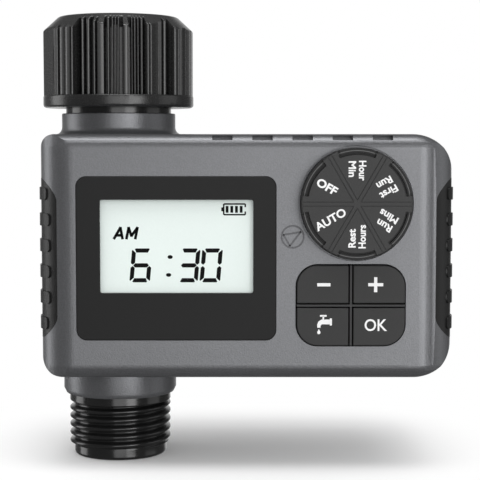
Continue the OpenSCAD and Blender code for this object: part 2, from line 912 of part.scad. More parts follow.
module valve_body() color("#232425") {
    difference() {
        union() {
            rod_z(top - wall - locator_t, washer_bottom, neck_r);
            rod_z(top - wall - locator_t, top - wall, locator_r);
            rod_z(bottom + wall, top - wall, tube_r);
            rod_z(bottom + wall, bottom + wall + locator_t, locator_r);
            rod_z(outlet_top, bottom + wall, neck_r);
            rod_z(thread_end, outlet_top, outlet_r);
            outlet_ring();
            rod_x(0, flange_x, flange_half);
            side_slab(flange_x - flange_t, flange_x) square_flange();
        }
        rod_z(washer_bottom - filter_t - 0.1, cut, filter_r + 0.1);
        rod_z(inlet_floor(), cut, inlet_bore);
        rod_z(outlet_foot - cut, outlet_roof(), outlet_bore);
        rod_x(0, flange_x + cut, seat_bore);
        difference() {
            rod_x(chamber_x, flange_x + cut, chamber_r);
            rod_x(chamber_x, seat_x, seat_bore + seat_wall);
        }
        translate([0, -channel_w / 2, middle + chamber_r - channel_h - 1.2])
            cube([chamber_x + cut, channel_w, channel_h]);
        ring_groove();
        flange_screws() rod_x(flange_x - flange_t + 0.5, flange_x + cut, bonnet_screw_r, 0, 0);
    }
}

// Ring below the outlet's thread, its lower edge rounded
module outlet_ring() {
    rotate_extrude() polygon([
        [0, outlet_foot], [outlet_end_r - foot_edge, outlet_foot],
        for (a = [-60:30:0]) [
            outlet_end_r - foot_edge * (1 - cos(a)), outlet_foot + foot_edge * (1 + sin(a))
        ],
        [outlet_end_r, thread_end + cut], [0, thread_end + cut]
    ]);
}

// Floor of the inlet passage and roof of the outlet passage
function inlet_floor() = middle + chamber_r - channel_h - 1.2;
function outlet_roof() = inlet_floor() - 1.6;

// Square outline of the valve flange, the diaphragm and the bonnet
module square_flange() {
    soft_rect(-flange_half, middle - flange_half, flange_half, middle + flange_half, 3);
}

// Repeats what it is given at the four corners of the flange
module flange_screws() {
    for (y = [-screw_square, screw_square]) for (z = [-screw_square, screw_square])
        translate([0, y, middle + z]) children();
}

module ring_groove() {
    rotate_extrude() translate([ring_groove_r, ring_bottom - ring_fit])
        square([neck_r, ring_t + 2 * ring_fit]);
}

// Rigid centre of the diaphragm, which closes on the seat
module valve_poppet() color("#3b3e41") {
    hub_r = 3.2;
    difference() {
        rod_x(seat_x + poppet_gap, poppet_back, poppet_r);
        rod_x(poppet_back - spring_pocket, poppet_back + cut, valve_spring_r + 1.2);
    }
    rod_x(seat_x - 2, seat_x + poppet_gap, hub_r);
}

module diaphragm() color("#16181a") {
    difference() {
        side_slab(flange_x, bonnet_x) square_flange();
        rod_x(flange_x - cut, bonnet_x + cut, poppet_r + neck_fit);
        flange_screws() rod_x(flange_x - cut, bonnet_x + cut, bonnet_screw_r + 0.2, 0, 0);
    }
}

module valve_bonnet() color("#303336") {
    difference() {
        union() {
            side_slab(bonnet_x, bonnet_x + flange_t) square_flange();
            rod_x(bonnet_x, bonnet_back, chamber_r + 1.6);
            rod_x(bonnet_back, bobbin_x, winding_r);
        }
        rod_x(bonnet_x - cut, bonnet_hollow, chamber_r);
        rod_x(bonnet_x, bonnet_back + cut, 1);
        rod_x(bonnet_back, bobbin_x + cut, bobbin_bore);
        flange_screws() rod_x(bonnet_x - cut, bonnet_x + flange_t + cut, bonnet_screw_r + 0.2, 0, 0);
    }
}

module bonnet_screws() color("#b9bcc0") {
    flange_screws() {
        rod_x(flange_x - flange_t + 0.6, bonnet_x + flange_t, bonnet_screw_r, 0, 0);
        rod_x(bonnet_x + flange_t, bonnet_x + flange_t + bonnet_head_h, bonnet_screw_r + 1.1, 0, 0);
    }
}

// Coil spring along X, swept from a small ring of points
module coil_spring(x0, x1, r, wire, turns) {
    steps = 16;
    sides = 6;
    count = steps * turns;
    rise = x1 - x0 - 2 * wire;
    points = [
        for (i = [0:count]) for (s = [0:sides - 1])
            let (a = 360 * i / steps, b = 360 * s / sides, d = r + wire * cos(b))
            [x0 + wire + rise * i / count + wire * sin(b), d * cos(a), middle + d * sin(a)]
    ];
    sides_faces = [
        for (i = [0:count - 1]) for (s = [0:sides - 1])
            let (t = (s + 1) % sides, n = i * sides)
            [n + s, n + t, n + sides + t, n + sides + s]
    ];
    ends = [[for (s = [sides - 1:-1:0]) s], [for (s = [0:sides - 1]) count * sides + s]];
    polyhedron(points, concat(sides_faces, ends));
}

module valve_spring() color("#c6cace") {
    coil_spring(poppet_back - spring_pocket + poppet_lift + 0.1, bonnet_hollow,
        valve_spring_r, 0.4, 2);
}

// ---------- Solenoid ----------

module solenoid_bobbin() color("#e7e6df") {
    difference() {
        union() {
            rod_x(bobbin_x, bobbin_end, bobbin_tube);
            rod_x(bobbin_x, bobbin_x + bobbin_flange, bobbin_r);
            rod_x(bobbin_end - bobbin_flange, bobbin_end, bobbin_r);
        }
        rod_x(bobbin_x - cut, bobbin_end + cut, bobbin_bore);
    }
}

module solenoid_winding() color("#b0683a") {
    difference() {
        rod_x(bobbin_x + bobbin_flange, bobbin_end - bobbin_flange, winding_r);
        rod_x(bobbin_x, bobbin_end, bobbin_tube);
    }
}

// Steel strip bent round the coil
module solenoid_frame() color("#a4a9ae") {
    for (z = [middle - bobbin_r - frame_t, middle + bobbin_r])
        translate([bobbin_x, -frame_w / 2, z]) cube([bobbin_len + frame_t, frame_w, frame_t]);
    difference() {
        translate([bobbin_end, -frame_w / 2, middle - bobbin_r])
            cube([frame_t, frame_w, 2 * bobbin_r]);
        rod_x(bobbin_end - cut, bobbin_end + 2 * cut, plunger_r - 0.5);
    }
}

module solenoid_core() color("#8e9499") {
    rod_x(core_x, bobbin_end, bobbin_bore);
    rod_x(bobbin_end, bobbin_end + frame_t, plunger_r - 0.5);
}

module solenoid_plunger() color("#8e9499") {
    tail_r = 1.2;
    rod_x(plunger_tip, plunger_tip + plunger_len, plunger_r);
    rod_x(plunger_tip + plunger_len, plunger_tip + plunger_len + 1.5, tail_r);
}

module plunger_spring() color("#c6cace") {
    coil_spring(plunger_tip + plunger_len + plunger_stroke + 0.1, core_x, 2.2, 0.35, 2);
}

// ---------- Display ----------

module display_panel() color("#2d2d2e") {
    difference() {
        front_slab(front - panel_proud(), panel_back)
            soft_rect(panel_x0, panel_z0, panel_x1, panel_z1, panel_r);
        front_slab(front - cut, panel_back + cut) soft_rect(
            window_x0, window_z0, window_x1, window_z1, window_r);
    }
}

// Front view of the LCD, grown by g
module lcd_outline(g) {
    edge = lcd_edge + g;
    translate([window_x0 - edge, window_z0 - edge])
        square([window_x1 - window_x0 + 2 * edge, window_z1 - window_z0 + 2 * edge]);
}

module lcd_glass() color("#e5edea") front_slab(lcd_front, lcd_back) lcd_outline(0);

module lcd_holder() color("#e9e9e6") {
    front_slab(lcd_back, board_front) difference() {
        lcd_outline(0);
        lcd_outline(-1.6);
    }
}

// ---------- Board and switches ----------

module main_board() color("#1f5a3c") {
    difference() {
        front_slab(board_front, board_back)
            soft_rect(board_x0, board_z0, board_x1, board_z1, 1);
        for (at = board_screws_at)
            rod_y(at[0], at[1], board_front - cut, board_back + cut, board_screw_r + screw_clear);
        for (at = shell_screws_at)
            rod_y(at[0], at[1], board_front - cut, board_back + cut, shell_boss_r + head_clear);
    }
}

module board_screws() color("#b9bcc0") {
    head_r = 1.8;
    head_h = 1.2;
    for (at = board_screws_at) {
        rod_y(at[0], at[1], board_front, board_back, board_screw_r);
        rod_y(at[0], at[1], board_back, board_back + head_h, head_r);
    }
}

// Centre of key [column, row], counted from the bottom left
function key_x(column) = (keypad_x0 + keypad_x1) / 2 + (column - 0.5) * key_across / 2;
function key_z(row) = (keypad_z0 + keypad_z1) / 2 + (row - 0.5) * key_up / 2;

module tact_switches() color("#15171a") {
    for (column = [0, 1]) for (row = [0, 1]) {
        front_slab(board_front - tact_h, board_front)
            translate([key_x(column) - tact_side / 2, key_z(row) - tact_side / 2]) square(tact_side);
        rod_y(key_x(column), key_z(row), tact_front, board_front - tact_h, key_stem_r - 0.2);
    }
}

module selector_switch() color("#24507a") {
    difference() {
        front_slab(seal_back() + 0.3, board_front)
            translate([dial_x - selector_side / 2, dial_z - selector_side / 2]) square(selector_side);
        rod_y(dial_x, dial_z, seal_back(), board_front - 0.8, shaft_r + shaft_fit);
    }
}

// ---------- Dial ----------

// Seal groove round the dial's shaft
function seal_front() = front + wall + 0.2;
function seal_back() = seal_front() + 1.6;

module selector_dial() color("#424243") {
    arc_half = 21;
    arc_outer = dial_round - 0.15;
    groove_r = arc_outer - dial_arc_w;
    groove_w = 0.6;
    groove_end = 2.6;
    groove_lap = 0.4;
    spoke_half = 0.5;
    spoke_line = 0.25;
    sunk = front + dial_sunk - dial_clear;
    difference() {
        translate([dial_x, 0, dial_z]) rotate([90, 0, 0]) rotate_extrude() polygon([
            [0, -sunk], [dial_round, -sunk], [dial_round, -dial_front - 1],
            [arc_outer, -dial_front - 0.3], [arc_outer - 0.3, -dial_front], [0, -dial_front]
        ]);
        translate([dial_x, 0, dial_z]) rotate([90, 0, 0]) for (i = [0:dial_sectors - 1])
            rotate(360 / dial_sectors * (i + 0.5) - arc_half) {
                rotate_extrude(angle = 2 * arc_half)
                    translate([groove_r - groove_w, -dial_front - 1.1]) square([groove_w, 2]);
                rotate_extrude(angle = 2 * arc_half)
                    translate([groove_r - groove_w / 2, -dial_front - 0.35]) square([3, 2]);
                for (turn = [-groove_lap, 2 * arc_half - groove_end + groove_lap]) rotate(turn)
                    rotate_extrude(angle = groove_end)
                        translate([groove_r - groove_w / 2, -dial_front - 0.9]) square([3, 2]);
            }
        translate([dial_x, 0, dial_z]) rotate([90, 0, 0]) for (i = [0:dial_sectors - 1])
            rotate(360 / dial_sectors * i) for (side = [-1, 1])
                translate([spoke_half / tan(180 / dial_sectors), side * spoke_half - spoke_line / 2,
                    -dial_front - spoke_line]) cube([dial_round + cut, spoke_line, 1]);
    }
    rod_y(dial_x, dial_z, sunk, board_front - 1.1, shaft_r);
}

module dial_seal() color("#16181a") {
    difference() {
        rod_y(dial_x, dial_z, seal_front() + 0.1, seal_back() - 0.1, shaft_hub_r - 0.1);
        rod_y(dial_x, dial_z, seal_front() - cut, seal_back() + cut, shaft_r + shaft_fit);
    }
}

// ---------- Keys ----------

// Front view of the keypad, grown by g
module keypad_outline(g) {
    soft_rect(keypad_x0 - g, keypad_z0 - g, keypad_x1 + g, keypad_z1 + g, keypad_r + g);
}

// Front view of one key out of an outline that covers all four
module one_key(column, row) {
    half = key_across;
    intersection() {
        children();
        translate([
            (keypad_x0 + keypad_x1) / 2 + (column == 0 ? -half - key_gap / 2 : key_gap / 2),
            (keypad_z0 + keypad_z1) / 2 + (row == 0 ? -half - key_gap / 2 : key_gap / 2)
        ]) square(half);
    }
}

module key(column, row) {
    front_slab(front - key_out, key_seat) one_key(column, row) keypad_outline(-key_fit);
    front_slab(key_seat, key_seat + key_flange_t) one_key(column, row) keypad_outline(key_flange);
    rod_y(key_x(column), key_z(row), key_seat, tact_front - key_travel - 0.05, key_stem_r);
}

module key_minus() color("#424243") key(0, 1);

module key_plus() color("#424243") key(1, 1);

module key_manual() color("#424243") key(0, 0);

module key_ok() color("#424243") key(1, 0);

// Ribs of the membrane that fill the gaps between the keys
module key_cross() {
    mid = [(keypad_x0 + keypad_x1) / 2, (keypad_z0 + keypad_z1) / 2];
    intersection() {
        keypad_outline(-key_fit);
        translate(mid) union() {
            square([key_cross_w, key_across], center = true);
            square([key_across + key_up, key_cross_w], center = true);
        }
    }
}

module keypad_membrane() color("#2c2c2e") {
    front_slab(front - key_out + key_cross_drop, membrane_front + membrane_t / 2) key_cross();
    difference() {
        front_slab(membrane_front, membrane_front + membrane_t) keypad_outline(membrane_lap);
        for (column = [0, 1]) for (row = [0, 1])
            rod_y(key_x(column), key_z(row), membrane_front - cut, membrane_front + 2 * cut,
                key_stem_r + 0.4);
    }
}

// ---------- Power ----------

module battery_tray() color("#3a3c3f") {
    difference() {
        front_slab(tray_front, tray_back) tray_outline(tray_wall);
        front_slab(tray_front + tray_wall, tray_back + cut) tray_outline(0);
    }
}

// Battery cell with its nub towards +X
module cell(z) {
    rod_x(cell_x0, cell_x1 - nub_h, cell_round, cell_y, z);
    rod_x(cell_x0, cell_x1, nub_r, cell_y, z);
}

module battery_cell_upper() color("#3d6f52") cell(middle + cell_step / 2);

module battery_cell_lower() color("#3d6f52") cell(middle - cell_step / 2);

module battery_contacts() color("#c6cace") {
    for (z = [middle - cell_step / 2, middle + cell_step / 2])
        for (x = [tray_x0, tray_x1 - contact_t])
            translate([x, cell_y - contact_side / 2, z - contact_side / 2])
                cube([contact_t, contact_side, contact_side]);
}

module battery_cover() color("#77787c") {
    rib_h = 0.6;
    rib_w = 2;
    rib_len = 16;
    rib_pitch = 6;
    plug = cover_fit;
    front_slab(cover_seat + lid_gap, back) tray_outline(cover_lap);
    difference() {
        front_slab(plug_front, cover_seat + lid_gap) difference() {
            tray_outline(-plug);
            tray_outline(-plug - plug_t);
        }
        front_slab(seal_at - lid_gap, seal_at + seal_t + lid_gap) difference() {
            tray_outline(cut);
            tray_outline(-plug - seal_sunk);
        }
    }
    for (i = [-1.5:1.5]) translate([
        (tray_x0 + tray_x1) / 2 + rib_pitch * i - rib_w / 2, back, middle - rib_len / 2
    ]) cube([rib_w, rib_h, rib_len]);
}

module cover_seal() color("#c8552e") {
    front_slab(seal_at, seal_at + seal_t) difference() {
        tray_outline(-seal_fit);
        tray_outline(-cover_fit - seal_sunk + 0.05);
    }
}

// ---------- Assembly ----------

front_shell();
rear_shell();
shell_gasket();
shell_screws();
left_grip();
right_grip();
swivel_nut();
nut_retaining_ring();
tap_washer();
filter_frame();
filter_mesh();
valve_body();
valve_poppet();
diaphragm();
valve_spring();
valve_bonnet();
bonnet_screws();
solenoid_bobbin();
solenoid_winding();
solenoid_frame();
solenoid_core();
solenoid_plunger();
plunger_spring();
display_panel();
lcd_glass();
lcd_holder();
main_board();
board_screws();
tact_switches();
selector_switch();
selector_dial();
dial_seal();
keypad_membrane();
key_minus();
key_plus();
key_manual();
key_ok();
battery_tray();
battery_cell_upper();
battery_cell_lower();
battery_contacts();
battery_cover();
cover_seal();
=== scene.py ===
"""Looks of a single-outlet irrigation timer for a garden tap.

The solids are loaded as a fixed frame. Each sub-assembly is a class that makes
its pieces, in millimetres, in the frame's own axes: +X to the right, +Y to the
back, +Z up, with the origin at the centre of the swivel nut's mouth. Outlines
on the front are points of X and Z.
"""

import logging
import math
from dataclasses import dataclass, field
from enum import Enum
from functools import cache
from typing import Callable, Sequence

import bmesh
import bpy
from mathutils import Matrix, Vector


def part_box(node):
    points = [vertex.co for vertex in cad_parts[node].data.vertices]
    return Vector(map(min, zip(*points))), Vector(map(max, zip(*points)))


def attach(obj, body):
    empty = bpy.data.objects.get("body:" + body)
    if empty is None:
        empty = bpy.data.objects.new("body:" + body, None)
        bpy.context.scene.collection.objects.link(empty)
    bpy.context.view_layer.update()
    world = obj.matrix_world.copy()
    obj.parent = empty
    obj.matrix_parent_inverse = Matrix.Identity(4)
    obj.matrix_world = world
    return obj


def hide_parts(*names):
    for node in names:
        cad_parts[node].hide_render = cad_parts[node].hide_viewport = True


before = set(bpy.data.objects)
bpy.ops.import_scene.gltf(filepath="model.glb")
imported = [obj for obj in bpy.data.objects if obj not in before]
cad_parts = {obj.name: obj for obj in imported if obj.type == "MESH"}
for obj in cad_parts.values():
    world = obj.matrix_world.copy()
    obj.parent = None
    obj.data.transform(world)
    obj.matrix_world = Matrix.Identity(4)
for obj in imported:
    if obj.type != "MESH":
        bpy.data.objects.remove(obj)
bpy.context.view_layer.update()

MM = 0.001
INK = 0.03  # how far print stands out of its face
ROOT = 0.02  # how far a mark reaches into its face
MERGE = 0.0005  # points this near are one
WELD = 0.002  # the same for a CAD node's points
FLAT = 0.6  # faces that meet under this angle, in degrees, are one
FRONTAL = 0.99999  # a face turned to the front at least this straight is a front face
# The height mark drives a ridged piece's painted highlight and painted shade.
RIDGE = "ridge"  # name of the height mark on a ridged piece
PLAIN = 0.3  # height mark of a plain face
NOISE = (0.3, 0.7)  # range of a noise that counts
TONES = (0.32, 0.68)  # where the two tones of a speckle stand
THREAD_PITCH = 2.209
Point = tuple[float, float]
Colour = tuple[float, float, float]
Socket = bpy.types.NodeSocket
Tree = bpy.types.NodeTree
log = logging.getLogger("timer")


# ---------- Surface effects ----------


def node(tree: Tree, kind: str, inputs: dict, **settings) -> bpy.types.Node:
    """Adds a shader node.

    Args:
        tree: The nodes that it joins.
        kind: Its type, without the word ShaderNode.
        inputs: A value or an output for each input, by name or number.
        **settings: The node's own settings.

    Returns:
        The node.
    """
    made = tree.nodes.new("ShaderNode" + kind)
    for key, value in settings.items():
        setattr(made, key, value)
    for key, value in inputs.items():
        if isinstance(value, Socket):
            tree.links.new(value, made.inputs[key])
        else:
            made.inputs[key].default_value = value
    return made


def span(tree: Tree, value: Socket, start: float, end: float, low: float = 0.0, high: float = 1.0,
         **settings) -> Socket:
    """Maps a value from one range to another.

    Args:
        tree: The nodes that the map joins.
        value: What is mapped.
        start: The value that gives low.
        end: The value that gives high.
        low: The result at the start and before it.
        high: The result at the end and after it.
        **settings: The node's own settings.

    Returns:
        The result.
    """
    ends = {"From Min": start, "From Max": end, "To Min": low, "To Max": high}
    return node(tree, "MapRange", {"Value": value, **ends}, **settings).outputs["Result"]


def mixed(tree: Tree, share: Socket, first: Socket | tuple, second: Socket | tuple) -> Socket:
    """Mixes two colours with an alpha, or two outputs; the share is that of the second."""
    return node(tree, "Mix", {0: share, 6: first, 7: second}, data_type="RGBA").outputs[2]


class Effects:
    """Shader node groups that several finishes share, each built once."""

    CELLS = 0.45  # weight of the cells beside the fine noise
    SQUEEZE = (0.06, 1.0, 1.0)  # streaks run along X

    @staticmethod
    def start(name: str, scale: float) -> tuple[Tree, Socket, Socket]:
        """Starts a group that reads coordinates and a scale.

        Args:
            name: The group's name.
            scale: The scale where a finish gives none.

        Returns:
            The group, its coordinates and its scale.
        """
        tree = bpy.data.node_groups.new(name, "ShaderNodeTree")
        tree.interface.new_socket("Vector", in_out="INPUT", socket_type="NodeSocketVector")
        size = tree.interface.new_socket("Scale", in_out="INPUT", socket_type="NodeSocketFloat")
        size.default_value = scale
        given = tree.nodes.new("NodeGroupInput").outputs
        return tree, given["Vector"], given["Scale"]

    @staticmethod
    def end(tree: Tree, **values: Socket) -> Tree:
        """Gives a group its outputs, and returns it."""
        for key in values:
            tree.interface.new_socket(key, in_out="OUTPUT", socket_type="NodeSocketFloat")
        last = tree.nodes.new("NodeGroupOutput")
        for key, value in values.items():
            tree.links.new(value, last.inputs[key])
        return tree

    @staticmethod
    @cache
    def grain() -> Tree:
        """Fine moulded texture. Inputs Vector and Scale, outputs Height and Mask."""
        tree, place, scale = Effects.start("moulded_grain", 1500.0)
        where = {"Vector": place, "Scale": scale}
        fine = node(tree, "TexNoise", {**where, "Detail": 2.0, "Roughness": 0.6}).outputs[0]
        cells = node(tree, "TexVoronoi", where).outputs["Distance"]
        both = node(tree, "Math", {0: cells, 1: Effects.CELLS, 2: fine}, operation="MULTIPLY_ADD")
        return Effects.end(tree, Height=both.outputs[0], Mask=fine)

    @staticmethod
    @cache
    def drift() -> Tree:
        """Slow change of tone over a moulding. Inputs Vector and Scale, output Mask."""
        tree, place, scale = Effects.start("tone_drift", 30.0)
        slow = node(tree, "TexNoise", {"Vector": place, "Scale": scale, "Detail": 3.0})
        return Effects.end(tree, Mask=slow.outputs[0])

    @staticmethod
    @cache
    def streaks() -> Tree:
        """Fine lines, as drawing leaves. Inputs Vector and Scale, outputs Height and Mask."""
        tree, place, scale = Effects.start("drawn_streaks", 900.0)
        long = node(tree, "Mapping", {"Vector": place, "Scale": Effects.SQUEEZE}).outputs["Vector"]
        lines = node(tree, "TexNoise", {"Vector": long, "Scale": scale, "Detail": 2.0}).outputs[0]
        return Effects.end(tree, Height=lines, Mask=lines)


class Grain(Enum):
    """Texture that a mould or a tool leaves: group, size of a grain and its depth."""

    SAND = ("grain", 0.34, 0.030)
    SATIN = ("grain", 0.22, 0.010)
    SMOOTH = ("grain", 0.60, 0.002)
    SOFT = ("grain", 0.30, 0.030)
    DRAWN = ("streaks", 0.40, 0.006)


@dataclass(frozen=True)
class Finish:
    """A procedural surface, shared by the pieces that wear it."""

    name: str
    colour: Colour
    roughness: float = 0.5
    metallic: float = 0.0
    grain: Grain = Grain.SATIN
    speckle: float = 0.05
    drift: float = 0.03
    spread: float = 0.08
    specular: float = 0.5

    @cache
    def build(self) -> bpy.types.Material:
        """Makes the material, once."""
        material = bpy.data.materials.new(self.name)
        material.use_nodes = True
        tree = material.node_tree
        shader = tree.nodes["Principled BSDF"].inputs
        shader["Metallic"].default_value = self.metallic
        shader["Specular IOR Level"].default_value = self.specular
        place = node(tree, "TexCoord", {}).outputs["Object"]
        kind, size, depth = self.grain.value
        texture = node(tree, "Group", {"Vector": place, "Scale": 1 / (size * MM)},
                       node_tree=getattr(Effects, kind)()).outputs
        slow = node(tree, "Group", {"Vector": place}, node_tree=Effects.drift()).outputs["Mask"]
        rough = span(tree, texture["Mask"], *NOISE, self.roughness - self.spread / 2,
                     self.roughness + self.spread / 2)
        bump = node(tree, "Bump", {"Strength": 1.0, "Distance": depth * MM,
                                   "Height": texture["Height"]}).outputs["Normal"]
        tree.links.new(self.tint(tree, place, texture["Mask"], slow), shader["Base Color"])
        tree.links.new(rough, shader["Roughness"])
        tree.links.new(bump, shader["Normal"])
        return material

    def tint(self, tree: Tree, place: Socket, mask: Socket, drift: Socket) -> Socket:
        """Mixes the tones of the surface.

        Args:
            tree: The material's nodes.
            place: The coordinates, for patterns.
            mask: The texture's mask.
            drift: The slow mask.

        Returns:
            The colour.
        """
        ramp = node(tree, "ValToRGB", {"Fac": mask})
        for stop, at, side in zip(ramp.color_ramp.elements, TONES, (-1, 1)):
            stop.position = at
            stop.color = (*(c * (1 + side * self.speckle) for c in self.colour), 1)
        slow = span(tree, drift, *NOISE, 1 - self.drift, 1 + self.drift)
        return node(tree, "VectorMath", {0: ramp.outputs["Color"], "Scale": slow},
                    operation="SCALE").outputs["Vector"]


@dataclass(frozen=True)
class Banded(Finish):
    """A finish with bands across one axis, such as a winding or a cell's sleeve."""

    other: Colour = (0.1, 0.1, 0.1)
    axis: int = 0
    period: float = 0.5
    share: float = 0.5
    soft: float = 0.08

    def tint(self, tree: Tree, place: Socket, mask: Socket, drift: Socket) -> Socket:
        """Mixes a second tone in bands; takes and returns what Finish.tint does."""
        base = super().tint(tree, place, mask, drift)
        half = self.period * MM / 2
        along = node(tree, "SeparateXYZ", {0: place}).outputs[self.axis]
        turn = node(tree, "Math", {0: along, 1: half}, operation="PINGPONG").outputs[0]
        edge = span(tree, turn, half * (self.share - self.soft), half * (self.share + self.soft))
        return mixed(tree, edge, base, (*self.other, 1))


@dataclass(frozen=True)
class Sunk(Finish):
    """A finish that paints shade into the grooves behind its front face, with a painted highlight
    ring there.
    """

    # other is the painted shade of what lies deep; line is the painted highlight of the thin ring
    other: Colour = (0.003, 0.003, 0.003)
    line: Colour = (0.11, 0.11, 0.11)
    face: float = 0.0
    depth: float = 0.26
    full: float = 0.34
    centre: Point = (0.0, 0.0)
    highlight_ring_r: float = 1.0
    highlight_ring_half: float = 0.1

    def tint(self, tree: Tree, place: Socket, mask: Socket, drift: Socket) -> Socket:
        """Paints shade on what lies deep, and the highlight ring; takes and returns what
        Finish.tint does.
        """
        base = super().tint(tree, place, mask, drift)
        back = node(tree, "SeparateXYZ", {0: place}).outputs["Y"]
        deep = span(tree, back, (self.face + self.depth) * MM, (self.face + self.full) * MM)
        dark = mixed(tree, deep, base, (*self.other, 1))
        return mixed(tree, self.painted_highlight_ring(tree, place, deep), dark, (*self.line, 1))

    def painted_highlight_ring(self, tree: Tree, place: Socket, deep: Socket) -> Socket:
        """Masks a thin ring round the centre on what lies deep, where a highlight is painted.

        Args:
            tree: The material's nodes.
            place: The coordinates.
            deep: The mask of what lies deep.

        Returns:
            The ring's mask.
        """
        middle = (self.centre[0] * MM, 0, self.centre[1] * MM)
        flat = node(tree, "VectorMath", {0: place, 1: (1, 0, 1)}, operation="MULTIPLY").outputs[0]
        away = node(tree, "VectorMath", {0: flat, 1: middle}, operation="DISTANCE").outputs["Value"]
        near = node(tree, "Math", {0: away, 1: self.highlight_ring_r * MM, 2: self.highlight_ring_half * MM},
                    operation="COMPARE").outputs[0]
        return node(tree, "Math", {0: near, 1: deep}, operation="MULTIPLY").outputs[0]


@dataclass(frozen=True)
class Ridged(Finish):
    """A finish with a painted highlight on the ridges of its piece and painted shade in the
    grooves.
    """

    # top is the painted highlight on the ridges; deep is the painted shade in the grooves
    top: Colour = (0.05, 0.05, 0.05)
    deep: Colour = (0.003, 0.003, 0.003)

    def tint(self, tree: Tree, place: Socket, mask: Socket, drift: Socket) -> Socket:
        """Paints highlight and shade by the piece's own height mark; takes and returns what
        Finish.tint does.
        """
        colour = super().tint(tree, place, mask, drift)
        height = node(tree, "Attribute", {}, attribute_name=RIDGE).outputs["Fac"]
        for end, other in ((0.0, self.deep), (1.0, self.top)):
            colour = mixed(tree, span(tree, height, PLAIN, end), colour, (*other, 1))
        return colour


@dataclass(frozen=True)
class Traced(Finish):
    """A circuit board: solder mask over a net of copper traces."""

    other: Colour = (0.02, 0.1, 0.05)
    pitch: float = 1.9

    def tint(self, tree: Tree, place: Socket, mask: Socket, drift: Socket) -> Socket:
        """Draws the traces; takes and returns what Finish.tint does."""
        base = super().tint(tree, place, mask, drift)
        upright = node(tree, "Mapping", {"Vector": place, "Rotation": (math.pi / 2, 0, 0)})
        net = node(tree, "TexBrick", {
            "Vector": upright.outputs["Vector"], "Scale": 1 / (self.pitch * MM),
            "Mortar Size": 0.08, "Brick Width": 2.6, "Row Height": 0.5,
            "Color1": (1, 1, 1, 1), "Color2": (0.8, 0.8, 0.8, 1), "Mortar": (0, 0, 0, 1)})
        return mixed(tree, net.outputs["Color"], (*self.other, 1), base)


def grey(level: float) -> Colour:
    """A neutral tone."""
    return (level, level, level)


SAND, SATIN, SMOOTH, SOFT, DRAWN = Grain
PEARL = Finish("pearl_grey_housing", (0.215, 0.218, 0.228), 0.37, 0.8, SAND, 0.10, 0.03, 0.10)
PEARL_DARK = Finish("pearl_grey_mark", (0.120, 0.121, 0.127), 0.45, 0.4, SAND, 0.08)
# The nut's ribs get a painted highlight and its grooves painted shade, by the height mark.
NUT_BLACK = Ridged("ribbed_black", grey(0.011), 0.25, 0.0, SATIN, 0.10, 0.05, 0.08, 0.9)
VALVE_BLACK = Finish("valve_black", grey(0.006), 0.19, 0.0, SMOOTH, 0.08, 0.04, 0.05, 0.9)
RUBBER = Finish("grip_rubber", grey(0.008), 0.38, 0.0, SOFT, 0.12, 0.05, 0.10, 0.5)
SEAL = Finish("seal_rubber", (0.015, 0.015, 0.016), 0.60, 0.0, SOFT, 0.1, 0.04, 0.1, 0.35)
SEAL_ORANGE = Finish("orange_silicone", (0.50, 0.10, 0.03), 0.5, 0.0, SMOOTH, 0.05)
PANEL = Finish("panel_black", grey(0.012), 0.45, 0.0, SMOOTH, 0.03, 0.02, 0.04, 0.25)
LCD = Finish("lcd_pale", (0.77, 0.845, 0.815), 0.35, 0.0, SMOOTH, 0.008, 0.012, 0.03, 0.2)
SEGMENT = Finish("lcd_segment", grey(0.003), 0.45, 0.0, SMOOTH, 0.1, 0.05, 0.04, 0.1)
KEY_GREY = Finish("key_dark_grey", grey(0.030), 0.45, 0.0, SATIN, 0.05, 0.03, 0.06, 0.35)
# The dial's grooves and rim get painted shade, and the arcs a painted highlight ring.
DIAL_GREY = Sunk("dial_dark_grey", grey(0.030), 0.42, 0.0, SATIN, 0.05, 0.03, 0.06, 0.4,
                 face=-30.0, centre=(61.0, -47.9), highlight_ring_r=13.15)
MEMBRANE = Finish("membrane_rubber", (0.045, 0.045, 0.046), 0.55, 0.0, SATIN, 0.06, 0.03, 0.08, 0.3)
PRINT = Finish("print_white", grey(0.86), 0.5, 0.0, SATIN, 0.02, 0.01, 0.05, 0.2)
WHITE_PLASTIC = Finish("white_plastic", (0.62, 0.62, 0.60), 0.45, 0.0, SATIN, 0.03)
GREY_PLASTIC = Finish("inner_grey_plastic", (0.07, 0.072, 0.076), 0.5, 0.0, SATIN, 0.06)
STEEL = Finish("drawn_steel", (0.52, 0.53, 0.55), 0.3, 1.0, DRAWN, 0.08, 0.03, 0.16)
DULL_STEEL = Finish("solenoid_steel", (0.36, 0.37, 0.39), 0.42, 1.0, DRAWN, 0.1, 0.05, 0.18)
COPPER = Banded("copper_winding", (0.62, 0.22, 0.09), 0.32, 1.0, SMOOTH, 0.06,
                other=(0.20, 0.06, 0.03), period=0.36, share=0.75)
CELL = Banded("cell_sleeve", (0.05, 0.16, 0.09), 0.35, 0.0, SMOOTH, 0.04,
              other=(0.55, 0.44, 0.22), period=78.0, share=0.72)
BOARD = Traced("green_board", (0.015, 0.075, 0.038), 0.38, 0.0, SMOOTH, 0.05)
SELECTOR = Finish("selector_blue", (0.03, 0.09, 0.20), 0.5, 0.0, SATIN, 0.05)
FILTER_WEAVE = Banded("filter_weave", (0.45, 0.47, 0.50), 0.35, 0.9, SMOOTH, 0.06,
                      other=(0.30, 0.31, 0.34), period=0.4, share=0.6)


# ---------- Shaping ----------


